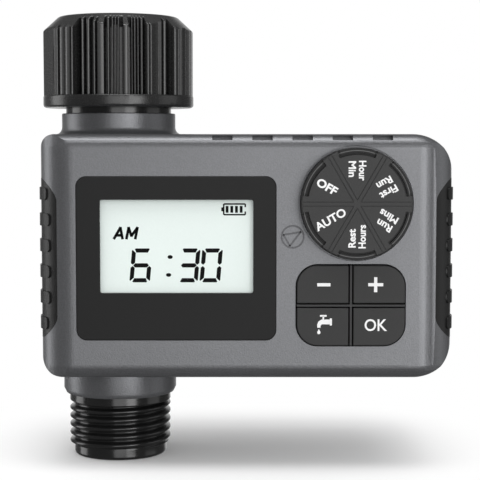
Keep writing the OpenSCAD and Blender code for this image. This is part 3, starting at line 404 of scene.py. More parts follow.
class Draft:
    """A mesh on its way to being a piece, in millimetres."""

    def __init__(self) -> None:
        """Starts with nothing."""
        self.bm = bmesh.new()

    @classmethod
    def of_node(cls, name: str) -> "Draft":
        """Copies a CAD node, with its vertices merged and its flat faces joined."""
        draft = cls()
        bm = draft.bm
        bm.from_mesh(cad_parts[name].data)
        bmesh.ops.scale(bm, vec=(1 / MM,) * 3, verts=bm.verts[:])
        bmesh.ops.remove_doubles(bm, verts=bm.verts[:], dist=WELD)
        bmesh.ops.dissolve_limit(bm, angle_limit=math.radians(FLAT), verts=bm.verts[:],
                                 edges=bm.edges[:])
        return draft

    def soften(self, width: float, angle: float = 32.0, segments: int = 2) -> "Draft":
        """Rounds every edge sharper than an angle.

        Args:
            width: How far the rounding reaches.
            angle: The least angle of such an edge, in degrees.
            segments: Steps in the rounding.

        Returns:
            The draft.
        """
        sharp = [e for e in self.bm.edges
                 if e.is_manifold and e.calc_face_angle(0.0) > math.radians(angle)]
        bmesh.ops.bevel(self.bm, geom=sharp, offset=width, offset_type="OFFSET", segments=segments,
                        profile=0.5, affect="EDGES", clamp_overlap=True, material=-1)
        return self

    def cut(self, point: Sequence[float], normal: Sequence[float], clear: bool = False) -> "Draft":
        """Cuts the faces along a plane.

        Args:
            point: A point of the plane.
            normal: The plane's direction.
            clear: Whether what lies on that side goes.

        Returns:
            The draft.
        """
        geom = self.bm.verts[:] + self.bm.edges[:] + self.bm.faces[:]
        bmesh.ops.bisect_plane(self.bm, geom=geom, plane_co=point, plane_no=normal,
                               clear_outer=clear)
        return self

    def prism(self, outline: Sequence[Point], y0: float, y1: float) -> "Draft":
        """Adds a prism whose outline lies in the front view, from y0 back to y1."""
        face = self.bm.faces.new([self.bm.verts.new((x, y0, z)) for x, z in outline])
        grown = bmesh.ops.extrude_face_region(self.bm, geom=[face])
        moved = [v for v in grown["geom"] if isinstance(v, bmesh.types.BMVert)]
        bmesh.ops.translate(self.bm, vec=(0, y1 - y0, 0), verts=moved)
        bmesh.ops.recalc_face_normals(self.bm, faces=self.bm.faces[:])
        return self

    def plates(self, outlines: Sequence[Sequence[Point]], y: float, depth: float = INK) -> "Draft":
        """Adds thin plates that stand on the front face at y, out of it by a depth."""
        for outline in outlines:
            self.prism(outline, y - depth, y + ROOT)
        return self

    def lathe(self, section: Sequence[Point], centre: Vector, axis: Vector, steps: int) -> "Draft":
        """Turns a closed section round an axis.

        Args:
            section: Radius and height pairs, the height along the axis.
            centre: A point on the axis.
            axis: The axis' direction.
            steps: Facets round the axis.

        Returns:
            The draft.
        """
        bm, side = self.bm, axis.orthogonal().normalized()
        points = [bm.verts.new(centre + side * r + axis * h) for r, h in section]
        edges = [bm.edges.new(pair) for pair in zip(points, points[1:] + points[:1])]
        bmesh.ops.spin(bm, geom=points + edges, cent=centre, axis=axis, angle=math.tau, steps=steps,
                       use_merge=True, use_duplicate=False)
        bmesh.ops.remove_doubles(bm, verts=bm.verts[:], dist=MERGE)
        bmesh.ops.recalc_face_normals(bm, faces=bm.faces[:])
        return self

    def mark(self, height: Callable[[Vector], float]) -> "Draft":
        """Gives every point its height mark, from 0 in a groove to 1 on a ridge."""
        layer = self.bm.verts.layers.float.new(RIDGE)
        for v in self.bm.verts:
            v[layer] = height(v.co)
        return self

    def rings(self, angles: Sequence[float], levels: Sequence[float],
              shape: Callable[[float, int], float]) -> "Draft":
        """Stacks closed rings round the Z axis and joins the last to the first.

        Args:
            angles: Where each ring has its points, in radians, rising.
            levels: The height of each ring.
            shape: Gives the radius at an angle on a ring's number.

        Returns:
            The draft, which has to start empty.
        """
        bm = self.bm
        made = bmesh.ops.create_circle(bm, cap_ends=False, radius=1.0, segments=len(angles))
        ring = sorted(made["verts"], key=lambda v: math.atan2(v.co.y, v.co.x) % math.tau)
        first = edges = bm.edges[:]
        for number, z in enumerate(levels):
            if number:
                grown = bmesh.ops.extrude_edge_only(bm, edges=edges)["geom"]
                new = {v for v in grown if isinstance(v, bmesh.types.BMVert)}
                edges = [e for e in grown
                         if isinstance(e, bmesh.types.BMEdge) and new.issuperset(e.verts)]
                ring = [next(e.other_vert(v) for e in v.link_edges if e.other_vert(v) in new)
                        for v in ring]
            for v, a in zip(ring, angles):
                r = shape(a, number)
                v.co = (r * math.cos(a), r * math.sin(a), z)
        bmesh.ops.bridge_loops(bm, edges=edges + first)
        bmesh.ops.recalc_face_normals(bm, faces=bm.faces[:])
        return self

    def join(self, other: "Draft") -> "Draft":
        """Adds another draft's mesh."""
        spare = bpy.data.meshes.new("joined")
        other.bm.to_mesh(spare)
        self.bm.from_mesh(spare)
        bpy.data.meshes.remove(spare)
        other.bm.free()
        return self

    def piece(self, name: str, body: str, slot: str, finish: Finish, *nodes: str,
              sharp: float = 38.0) -> None:
        """Makes the draft a piece of the object.

        Args:
            name: The piece's name.
            body: The body that it rides on.
            slot: The record's material slot; not used.
            finish: What it wears.
            *nodes: CAD nodes that it stands for.
            sharp: Edges over this angle, in degrees, stay sharp.
        """
        bmesh.ops.scale(self.bm, vec=(MM,) * 3, verts=self.bm.verts[:])
        mesh = bpy.data.meshes.new(name)
        self.bm.to_mesh(mesh)
        self.bm.free()
        mesh.polygons.foreach_set("use_smooth", [True] * len(mesh.polygons))
        mesh.set_sharp_from_angle(angle=math.radians(sharp))
        # The flat front faces are shaded flat, so that nothing beside them tilts their light.
        mesh.polygons.foreach_set("use_smooth", [p.normal.y > -FRONTAL for p in mesh.polygons])
        mesh.materials.append(finish.build())
        obj = bpy.data.objects.new(name, mesh)
        bpy.context.scene.collection.objects.link(obj)
        obj.modifiers.new("even_shading", "WEIGHTED_NORMAL").keep_sharp = True
        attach(obj, body)
        if nodes:
            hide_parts(*nodes)


def rounded(x0: float, z0: float, x1: float, z1: float, r: float, steps: int = 6) -> list[Point]:
    """Outline of a rectangle with rounded corners, anticlockwise."""
    out = []
    corners = ((x1 - r, z1 - r), (x0 + r, z1 - r), (x0 + r, z0 + r), (x1 - r, z0 + r))
    for i, (cx, cz) in enumerate(corners):
        for k in range(steps + 1):
            a = math.pi / 2 * (i + k / steps)
            out.append((cx + r * math.cos(a), cz + r * math.sin(a)))
    return out


def oval(centre: Point, across: float, up: float, steps: int = 16) -> list[Point]:
    """Outline of an oval with its two half widths."""
    return [(centre[0] + across * math.cos(a), centre[1] + up * math.sin(a))
            for a in (math.tau * k / steps for k in range(steps))]


def beam(start: Point, end: Point, width: float) -> list[Point]:
    """Outline of a straight bar of a width from one point to another."""
    run = Vector((end[0] - start[0], end[1] - start[1])).normalized() * width / 2
    return [(start[0] + run.y - run.x / 2, start[1] - run.x - run.y / 2),
            (end[0] + run.y + run.x / 2, end[1] - run.x + run.y / 2),
            (end[0] - run.y + run.x / 2, end[1] + run.x + run.y / 2),
            (start[0] - run.y - run.x / 2, start[1] + run.x - run.y / 2)]


def box_of(name: str) -> tuple[Vector, Vector]:
    """Lowest and highest corners of a CAD node."""
    low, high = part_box(name)
    return Vector(low) / MM, Vector(high) / MM


def front_of(name: str) -> float:
    """The foremost Y of a CAD node."""
    return box_of(name)[0].y


def arc_drop(radius: float, deep: float) -> float:
    """How far a rounded edge lies behind its face, at a distance inside the outline."""
    off = min(radius, max(0.0, radius - deep))
    return radius - math.sqrt(radius * radius - off * off)


def clamp(value: float) -> float:
    """The value, held between 0 and 1."""
    return max(0.0, min(1.0, value))


@dataclass(frozen=True)
class Label:
    """A word printed on a front face."""

    text: str
    height: float
    length: float
    weight: float
    near: float = 0.0001  # a letter's points this near are one

    def draw(self, centre: Point, turn: float, y: float) -> Draft:
        """Makes the word.

        Args:
            centre: Where its middle comes, in the front view.
            turn: Its direction, anticlockwise, in degrees.
            y: The face that it is printed on.

        Returns:
            The word as a draft.
        """
        curve = bpy.data.curves.new("label", "FONT")
        curve.body = self.text
        curve.extrude = ROOT
        curve.offset = self.weight
        curve.resolution_u = 4
        obj = bpy.data.objects.new("label", curve)
        bpy.context.scene.collection.objects.link(obj)
        bpy.context.view_layer.update()
        mesh = bpy.data.meshes.new_from_object(
            obj.evaluated_get(bpy.context.evaluated_depsgraph_get()))
        draft = Draft()
        bm = draft.bm
        bm.from_mesh(mesh)
        bpy.data.objects.remove(obj)
        bpy.data.curves.remove(curve)
        bpy.data.meshes.remove(mesh)
        bmesh.ops.remove_doubles(bm, verts=bm.verts[:], dist=self.near)
        low = [min(v.co[i] for v in bm.verts) for i in range(2)]
        high = [max(v.co[i] for v in bm.verts) for i in range(2)]
        middle = Vector(((low[0] + high[0]) / 2, (low[1] + high[1]) / 2, 0))
        size = (self.length / (high[0] - low[0]), self.height / (high[1] - low[1]), 1.0, 1.0)
        place = (Matrix.Translation((centre[0], y, centre[1]))
                 @ Matrix.Rotation(math.pi / 2, 4, "X")
                 @ Matrix.Rotation(math.radians(turn), 4, "Z")
                 @ Matrix.Diagonal(size) @ Matrix.Translation(-middle))
        bmesh.ops.transform(bm, matrix=place, verts=bm.verts[:])
        bmesh.ops.recalc_face_normals(bm, faces=bm.faces[:])
        return draft


@dataclass(frozen=True)
class Copy:
    """A piece that keeps the shape of its CAD node, with its edges rounded by a width."""

    solid: str
    slot: str
    finish: Finish
    width: float
    body: str = "timer"

    def build(self) -> None:
        """Makes the piece."""
        draft = Draft.of_node(self.solid).soften(self.width)
        draft.piece(f"{self.solid}_skin", self.body, self.slot, self.finish, self.solid)
        log.info("%s: rounded %.2f mm", self.solid, self.width)


@dataclass
class SubAssembly:
    """Pieces that belong together; those in copies keep the shape of their CAD nodes."""

    copies: tuple = ()

    def build(self) -> None:
        """Makes every piece."""
        for copy in self.copies:
            copy.build()


# ---------- Housing ----------


@dataclass
class Housing(SubAssembly):
    """Both shells, their grips, gasket and screws, and the mark beside the dial."""

    copies: tuple = (
        Copy("rear_shell", "housing", PEARL, 0.3),
        Copy("shell_gasket", "rubber_seal", SEAL, 0.1),
        Copy("shell_screws", "steel", STEEL, 0.2),
    )
    top: float = -30.7
    bottom: float = -92.0
    corners: tuple = (4.0, 6.0, 10.5, 10.0)  # top left, bottom left, top right, bottom right
    cad_edge: float = 2.6
    edge: float = 3.6
    edge_cuts: tuple = (3.6, 3.15, 2.75)
    edge_end: float = -18.0
    slack: float = 0.01  # points this little outside the outline still count
    shell_soft: float = 0.3
    grip_soft: float = 0.16
    mark_at: Point = (45.3, -56.2)
    mark_r: float = 2.95
    mark_reach: float = 2.35
    mark_corners: tuple = (31.0, 168.0, 253.0)
    mark_line: float = 0.42
    mark_h: float = 0.1
    mark_steps: int = 48
    turn: float = 9.0
    bumps: int = 6
    bump_pitch: float = 6.54
    bump_mid: float = -61.95
    bump_h: float = 3.14
    bump_r: float = 0.95
    bump_out: float = 0.45
    bump_root: float = 0.3
    bump_turns: tuple = (47.6, 36.3)  # how far round the corner, left and right, in degrees
    end_turns: tuple = (41.0, 36.3)  # the same for the first and the last bump
    bump_back: float = -3.98
    end_back: float = -5.48
    bend_step: float = 6.0
    bend_cuts: int = 9

    def build(self) -> None:
        """Makes every piece."""
        super().build()
        self.front_half()
        self.grips()
        self.pointer_mark()

    def front_half(self) -> None:
        """The front shell, its upper and lower front edges eased a little further."""
        draft = Draft.of_node("front_shell")
        low, high = box_of("rear_shell")
        for inset in self.edge_cuts:
            for z in (self.top - inset, self.bottom + inset):
                draft.cut((0, 0, z), (0, 0, 1))
        face = front_of("front_shell")
        for v in draft.bm.verts:
            deep, share = self.inside(v.co.x, v.co.z, low.x, high.x)
            if v.co.y > self.edge_end or not -self.slack < deep < self.edge:
                continue
            was = face + arc_drop(self.cad_edge, deep)
            new = was + (arc_drop(self.edge, deep) - arc_drop(self.cad_edge, deep)) * share * share
            v.co.y = new + (v.co.y - was) * (self.edge_end - new) / (self.edge_end - was)
        draft.soften(self.shell_soft)
        draft.piece("front_shell_skin", "timer", "housing", PEARL, "front_shell")
        log.info("front shell")

    def inside(self, x: float, z: float, left: float, right: float) -> Point:
        """How deep a point lies inside the housing's outline, and how far that is up or down.

        Args:
            x: The point's place across.
            z: Its height.
            left: The outline's left side.
            right: Its right side.

        Returns:
            The depth, and the share of it that is upright.
        """
        high, west = z > (self.top + self.bottom) / 2, x < (left + right) / 2
        r = self.corners[(0 if high else 1) if west else (2 if high else 3)]
        away = Vector((left + r - x if west else x - right + r,
                       z - self.top + r if high else self.bottom + r - z))
        if away.x > 0 and away.y > 0:
            return r - away.length, away.y / away.length
        return r - max(away), float(away.y > away.x)

    def grips(self) -> None:
        """The rubber grips, with bumps that reach well round the housing's front corners."""
        low, high = box_of("rear_shell")
        axis_y = front_of("front_shell") + self.turn
        for name, side, edge in (("left_grip", -1, low.x), ("right_grip", 1, high.x)):
            draft = Draft.of_node(name)
            axis = Vector((edge - side * self.turn, axis_y))
            for v in draft.bm.verts:  # the solid's own bumps stay under the new ones
                spot = Vector((v.co.x, min(v.co.y, axis_y)))
                out = (spot - axis).length - self.turn
                if out > self.bump_root and spot != axis:
                    away = (spot - axis).normalized() * (out - self.bump_root)
                    v.co -= Vector((away.x, away.y, 0))
            for number in range(self.bumps):
                draft.join(self.bump(number, side, axis))
            draft.soften(self.grip_soft)
            draft.piece(f"{name}_skin", "timer", "rubber_grip", RUBBER, name)
            log.info("%s: %d bumps", name, self.bumps)

    def bump(self, number: int, side: int, axis: Vector) -> Draft:
        """One bump of a grip, laid round the upright corner of the housing.

        Args:
            number: Its place, from the lowest.
            side: -1 on the left, 1 on the right.
            axis: The corner's axis in the plan.

        Returns:
            The bump as a draft.
        """
        last = number in (0, self.bumps - 1)
        turns = self.end_turns if last else self.bump_turns
        reach = self.turn * math.radians(turns[side > 0])
        tail = (self.end_back if last else self.bump_back) - axis.y
        z = self.bump_mid + (number - (self.bumps - 1) / 2) * self.bump_pitch
        half = self.bump_h / 2
        outline = rounded(-tail, z - half, reach, z + half, self.bump_r)
        draft = Draft().prism(outline, -self.bump_out, self.bump_root)
        for k in range(self.bend_cuts):
            draft.cut((self.turn * math.radians(self.bend_step * k), 0, 0), (1, 0, 0))
        for v in draft.bm.verts:
            bend, r = max(0.0, v.co.x) / self.turn, self.turn - v.co.y
            v.co.x, v.co.y = (axis.x + side * r * math.cos(bend),
                              axis.y - r * math.sin(bend) - min(0.0, v.co.x))
        bmesh.ops.recalc_face_normals(draft.bm, faces=draft.bm.faces[:])
        return draft

    def pointer_mark(self) -> None:
        """A ring with a triangle that points at the dial, raised on the front face."""
        face = front_of("front_shell")
        outer, inner = self.mark_r, self.mark_r - self.mark_line
        section = [(inner, ROOT), (outer, ROOT), (outer, -self.mark_h), (inner, -self.mark_h)]
        draft = Draft().lathe(section, Vector((self.mark_at[0], face, self.mark_at[1])),
                              Vector((0, 1, 0)), self.mark_steps)
        corners = [(self.mark_at[0] + self.mark_reach * math.cos(a),
                    self.mark_at[1] + self.mark_reach * math.sin(a))
                   for a in map(math.radians, self.mark_corners)]
        sides = zip(corners, corners[1:] + corners[:1])
        draft.plates([beam(*side, self.mark_line) for side in sides], face, self.mark_h)
        draft.piece("pointer_mark", "timer", "housing", PEARL_DARK)
        log.info("pointer mark")


# ---------- Swivel nut and inlet ----------


@dataclass
class SwivelNut(SubAssembly):
    """The ribbed nut with its thread, and what it holds on the neck."""

    copies: tuple = (
        Copy("nut_retaining_ring", "ring", WHITE_PLASTIC, 0.15),
        Copy("tap_washer", "rubber_seal", SEAL, 0.25),
        Copy("filter_frame", "filter", WHITE_PLASTIC, 0.15),
        Copy("filter_mesh", "mesh", FILTER_WEAVE, 0.04),
    )
    radius: float = 19.7
    height: float = 23.7
    band: float = 3.1
    rim: float = 15.7
    chamfer: float = 4.0
    chamfer_h: float = 3.7
    chamfer_steps: int = 18
    bore: float = 13.55
    thread_in: float = 12.45
    thread_h: float = 12.0
    hollow: float = 15.4
    lip: float = 3.6
    lip_bore: float = 14.2
    crown_share: float = 1.5
    run_out: float = 0.35  # a groove gets this much shallower for each mm up the chamfer
    foot_share: float = 0.12  # how much of a groove reaches the band
    flank: float = 0.08  # half of a rib's flank, in degrees
    flank_slope: float = 0.05  # what each mm of its height adds
    rib_step: float = 2.2
    crown_points: int = 7
    # The chamfer's upward face is painted lighter, as light from above falls on it; mark_fade is
    # how far up the chamfer that painted light takes over.
    cone_painted_light: float = 0.55
    mark_fade: float = 0.8  # how far up the chamfer its own mark takes over
    # Rings by height and growth of the radius, from the foot, the band's top and the chamfer
    foot_rows: tuple = ((0.0, -0.6), (0.12, -0.3), (0.35, 0.0), (0.7, 0.12))
    band_rows: tuple = ((-0.35, 0.12), (-0.15, 0.06), (-0.04, -0.06))
    wall_rows: tuple = ((0.0, -0.02), (0.1, -0.02))
    brow_rows: tuple = ((-0.25, 0.0), (0.05, -0.09))
    cone_end: float = 0.2  # the chamfer ends this far under the mouth
    sleeve: float = 0.3
    thread_from: float = -0.8
    thread_fade: float = 1.2
    # Start in degrees from the front, depth under the radius, and crown, of each face
    faces: tuple = (
        (-90.0, 0, 0), (-80.0, 0.56, -0.56), (-52.5, 0.15, 0), (-51.0, 0, 0.26), (-48.2, 1.2, 0),
        (-45.7, 0.1, 0.14), (-40.2, 0.35, 0), (-39.0, 0.05, 0.14), (-34.0, 0.5, 0),
        (-32.9, 0, 0.19), (-31.0, 4, 0), (-28.9, 2.4, 0.26), (-25.9, 4, 0), (-23.4, 2.2, 0.26),
        (-19.8, 3.6, 0), (-16.0, 1.5, 0.2), (-13.8, 2.8, 0), (-11.9, 0.9, 0.14), (-6.5, 4, 0),
        (-5.1, 2.4, 0.22), (-2.4, 4, 0), (-1.0, 2.4, 0.16), (0.8, 3.8, 0), (1.7, 2.4, 0.13),
        (3.2, 3.8, 0), (4.2, 2.4, 0.15), (5.9, 4, 0), (8.5, 0.25, 0.14), (12.8, 4, 0),
        (15.6, 2.4, 0.12), (17.0, 3.8, 0), (17.9, 2.4, 0.15), (19.7, 3.6, 0), (20.8, 2.4, 0.15),
        (22.5, 3.8, 0), (23.6, 2.3, 0.24), (26.4, 4, 0), (27.1, 0.8, 0.26), (29.9, 0.7, 0.2),
        (32.1, 1.2, 0), (35.8, 1.5, 0), (38.7, 1.9, 0.14), (44.0, 3.4, 0), (46.5, 2.2, 0.26),
        (50.4, 4, 0), (51.9, 0.1, 0.26), (54.8, 0.4, 0), (57.7, 0.05, 0.14), (62.7, 0.45, 0),
        (69.2, 0, 0.14), (79.0, 0, 0), (90.0, 0, 0),
    )

    def build(self) -> None:
        """Makes every piece."""
        super().build()
        self.nut()

    def profile(self) -> list[tuple[float, float, float]]:
        """Angle from the front, depth under the radius and height mark, over half a turn."""
        out = []
        for (start, depth, crown), (end, after, _) in zip(self.faces, self.faces[1:]):
            before = out[-1][1] if out else depth
            a = start + self.flank + self.flank_slope * abs(depth - before)
            b = end - self.flank - self.flank_slope * abs(after - depth)
            count = max(self.crown_points if crown else 2, int((b - a) / self.rib_step) + 1)
            bulge = crown if crown < 0 else crown * self.crown_share
            for k in range(count):
                share = k / (count - 1)
                # A rib's crown is marked for a painted highlight; a plain face is marked darker the
                # deeper it lies, for painted shade.
                if crown > 0:
                    light = 1 - (1 - PLAIN) * abs(2 * share - 1) ** 3
                else:
                    light = PLAIN * max(0.0, 1 - depth / 3)
                out.append((a + (b - a) * share, depth + bulge * (2 * share - 1) ** 2, light))
        return out

    def levels(self) -> list[tuple[float, float, bool]]:
        """Height, radius and whether it is ribbed, of each ring of the nut."""
        low, start = -self.height, -self.chamfer_h
        foot = low + self.band
        rows = [(base + z, self.radius + grow, ribbed) for base, ribbed, table in
                ((low, False, self.foot_rows), (foot, False, self.band_rows),
                 (foot, True, self.wall_rows), (start, True, self.brow_rows))
                for z, grow in table]
        rise = self.chamfer_h - self.cone_end
        for k in range(1, self.chamfer_steps + 1):
            share = k / self.chamfer_steps
            rows.append((start + rise * share,
                         self.radius - self.chamfer * rise / self.chamfer_h * share, True))
        # The mouth, the threaded bore, the hollow and the lip, with their eased edges
        rim, bore, lip = self.rim, self.bore, low + self.lip
        plain = [(-0.06, rim - 0.04), (0.0, rim - 0.22), (0.0, bore + 0.55), (-0.35, bore + 0.1),
                 (-0.7, bore), (-self.thread_h, bore), (-self.thread_h - 0.1, self.hollow),
                 (lip, self.hollow), (lip, self.lip_bore + 0.1), (lip - 0.2, self.lip_bore),
                 (low + 0.2, self.lip_bore), (low, self.lip_bore + 0.2)]
        return rows + [(z, r, False) for z, r in plain]

    def nut(self) -> None:
        """The nut: a ribbed skin outside, a threaded bore inside."""
        spots = {math.radians(a + 180.0 * k - 90.0) % math.tau: (deep, height)
                 for k in (0, 1) for a, deep, height in self.profile()}
        angles = sorted(spots)
        levels = self.levels()
        foot, start = self.band - self.height, -self.chamfer_h

        def shape(angle: float, number: int) -> float:
            """Radius of the nut at an angle on a level."""
            z, r, ribbed = levels[number]
            if not ribbed:
                return r
            share = min(1.0, max(self.foot_share, (z - foot) / 0.1))
            deep = min(spots[angle][0], self.chamfer - self.run_out * max(0.0, z - start))
            return min(r, self.radius - deep * share)

        def mark(spot: Vector) -> float:
            """Height mark of a point of the nut."""
            if spot.z < foot + 0.05 or spot.z > -0.1 or spot.xy.length < self.rim - 0.1:
                return PLAIN
            turn = math.atan2(spot.y, spot.x) % math.tau
            height = spots[min(angles, key=lambda a: abs(a - turn))][1]
            cone = self.radius - self.chamfer / self.chamfer_h * (spot.z - start)
            if spot.z < start or spot.xy.length < cone - 0.12:
                return height
            # Up the chamfer the mark turns into the cone's painted light.
            share = clamp((spot.z - start - 0.1) / self.mark_fade)
            return height + (self.cone_painted_light - height) * share

        draft = Draft().rings(angles, [z for z, _, _ in levels], shape).mark(mark)
        draft.join(self.inner_thread())
        draft.piece("swivel_nut_skin", "nut", "nut", NUT_BLACK, "swivel_nut", sharp=50)
        log.info("swivel nut: %d points round", len(angles))

    def inner_thread(self) -> Draft:
        """The female thread as a helical ridge on a thin sleeve."""
        count, per = 72, 8
        low, high = -self.thread_h, self.thread_from
        rows = int((high - low) / THREAD_PITCH * per)
        heights = [low + (high - low) * k / rows for k in range(rows + 1)]
        angles = [math.tau * k / count for k in range(count)]

        def shape(angle: float, number: int) -> float:
            """Radius of the sleeve at an angle on a level."""
            if number > rows:
                return self.bore + self.sleeve
            z = heights[number]
            t = (z / THREAD_PITCH - angle / math.tau) % 1.0
            ridge = clamp(1.25 - abs(2 * t - 1) * 1.5)
            ends = clamp(min(z - low, high - z) / self.thread_fade)
            return self.bore - (self.bore - self.thread_in) * ridge * ends

        return Draft().rings(angles, heights + [high, low], shape)


# ---------- Valve ----------


@dataclass
class Valve(SubAssembly):
    """The valve's body with its threaded outlet, and the valve and solenoid inside."""

    copies: tuple = (
        Copy("valve_poppet", "poppet", GREY_PLASTIC, 0.15, "poppet"),
        Copy("diaphragm", "rubber_seal", SEAL, 0.1),
        Copy("valve_spring", "steel", STEEL, 0.02),
        Copy("valve_bonnet", "valve", GREY_PLASTIC, 0.25),
        Copy("bonnet_screws", "steel", STEEL, 0.15),
        Copy("solenoid_bobbin", "bobbin", WHITE_PLASTIC, 0.15),
        Copy("solenoid_winding", "copper", COPPER, 0.1),
        Copy("solenoid_frame", "steel", DULL_STEEL, 0.15),
        Copy("solenoid_core", "steel", DULL_STEEL, 0.15),
        Copy("solenoid_plunger", "steel", STEEL, 0.2, "plunger"),
        Copy("plunger_spring", "steel", STEEL, 0.02),
    )
    outlet_top: float = -99.2
    plain: float = 2.3
    thread_h: float = 11.8
    end_h: float = 2.6
    neck_r: float = 13.3
    major: float = 13.495
    minor: float = 12.25
    end_r: float = 12.3
    bore: float = 8.0
    crest_at: float = -103.5  # height of a crest at the side angle
    crest_side: float = math.radians(-175.0)
    join_z: float = -98.2
    overlap: float = 0.4

    def build(self) -> None:
        """Makes every piece."""
        super().build()
        self.body()

    def body(self) -> None:
        """The solid's own shape down to the collar, and below it the outlet with its thread."""
        draft = Draft.of_node("valve_body").cut((0, 0, self.join_z), (0, 0, -1), clear=True)
        bmesh.ops.bridge_loops(draft.bm, edges=[e for e in draft.bm.edges if e.is_boundary])
        draft.soften(0.25).join(self.outlet())
        draft.piece("valve_body_skin", "timer", "valve", VALVE_BLACK, "valve_body", sharp=50)
        log.info("valve body and outlet thread")

    def outlet(self) -> Draft:
        """The outlet below the collar: a plain ring, the thread and an end ring."""
        count, per, lead = 120, 12, 0.15
        start = self.outlet_top - self.plain
        stop = start - self.thread_h
        foot = stop - self.end_h
        rows = int(self.thread_h / THREAD_PITCH * per)
        plan = [(self.join_z + self.overlap, self.neck_r, False), (start + 0.35, self.major, False),
                (start + 0.12, self.major - 0.08, False), (start, self.major - 0.35, False)]
        plan += [(start - lead - (self.thread_h - lead) * k / rows, self.minor, True)
                 for k in range(rows + 1)]
        plan += [(foot + 0.9, self.end_r, False), (foot + 0.45, self.end_r - 0.1, False),
                 (foot + 0.15, self.end_r - 0.38, False), (foot, self.end_r - 0.9, False),
                 (foot, self.bore + 0.4, False), (foot + 0.4, self.bore, False),
                 (self.join_z + self.overlap, self.bore, False)]
        angles = [math.tau * k / count for k in range(count)]

        def shape(angle: float, number: int) -> float:
            """Radius of the outlet at an angle on a level."""
            z, r, threaded = plan[number]
            if not threaded:
                return r
            turn = (angle - self.crest_side) / math.tau
            t = ((z - self.crest_at) / THREAD_PITCH - turn + 0.5) % 1.0
            flank = clamp(1.12 - abs(2 * t - 1) * 1.35)
            ends = clamp(min((start - z) / 0.9, (z - stop) / 0.5))
            return r + (self.major - self.minor) * math.sin(flank * math.pi / 2) ** 0.9 * ends

        return Draft().rings(angles, [z for z, _, _ in plan], shape)


# ---------- Display ----------


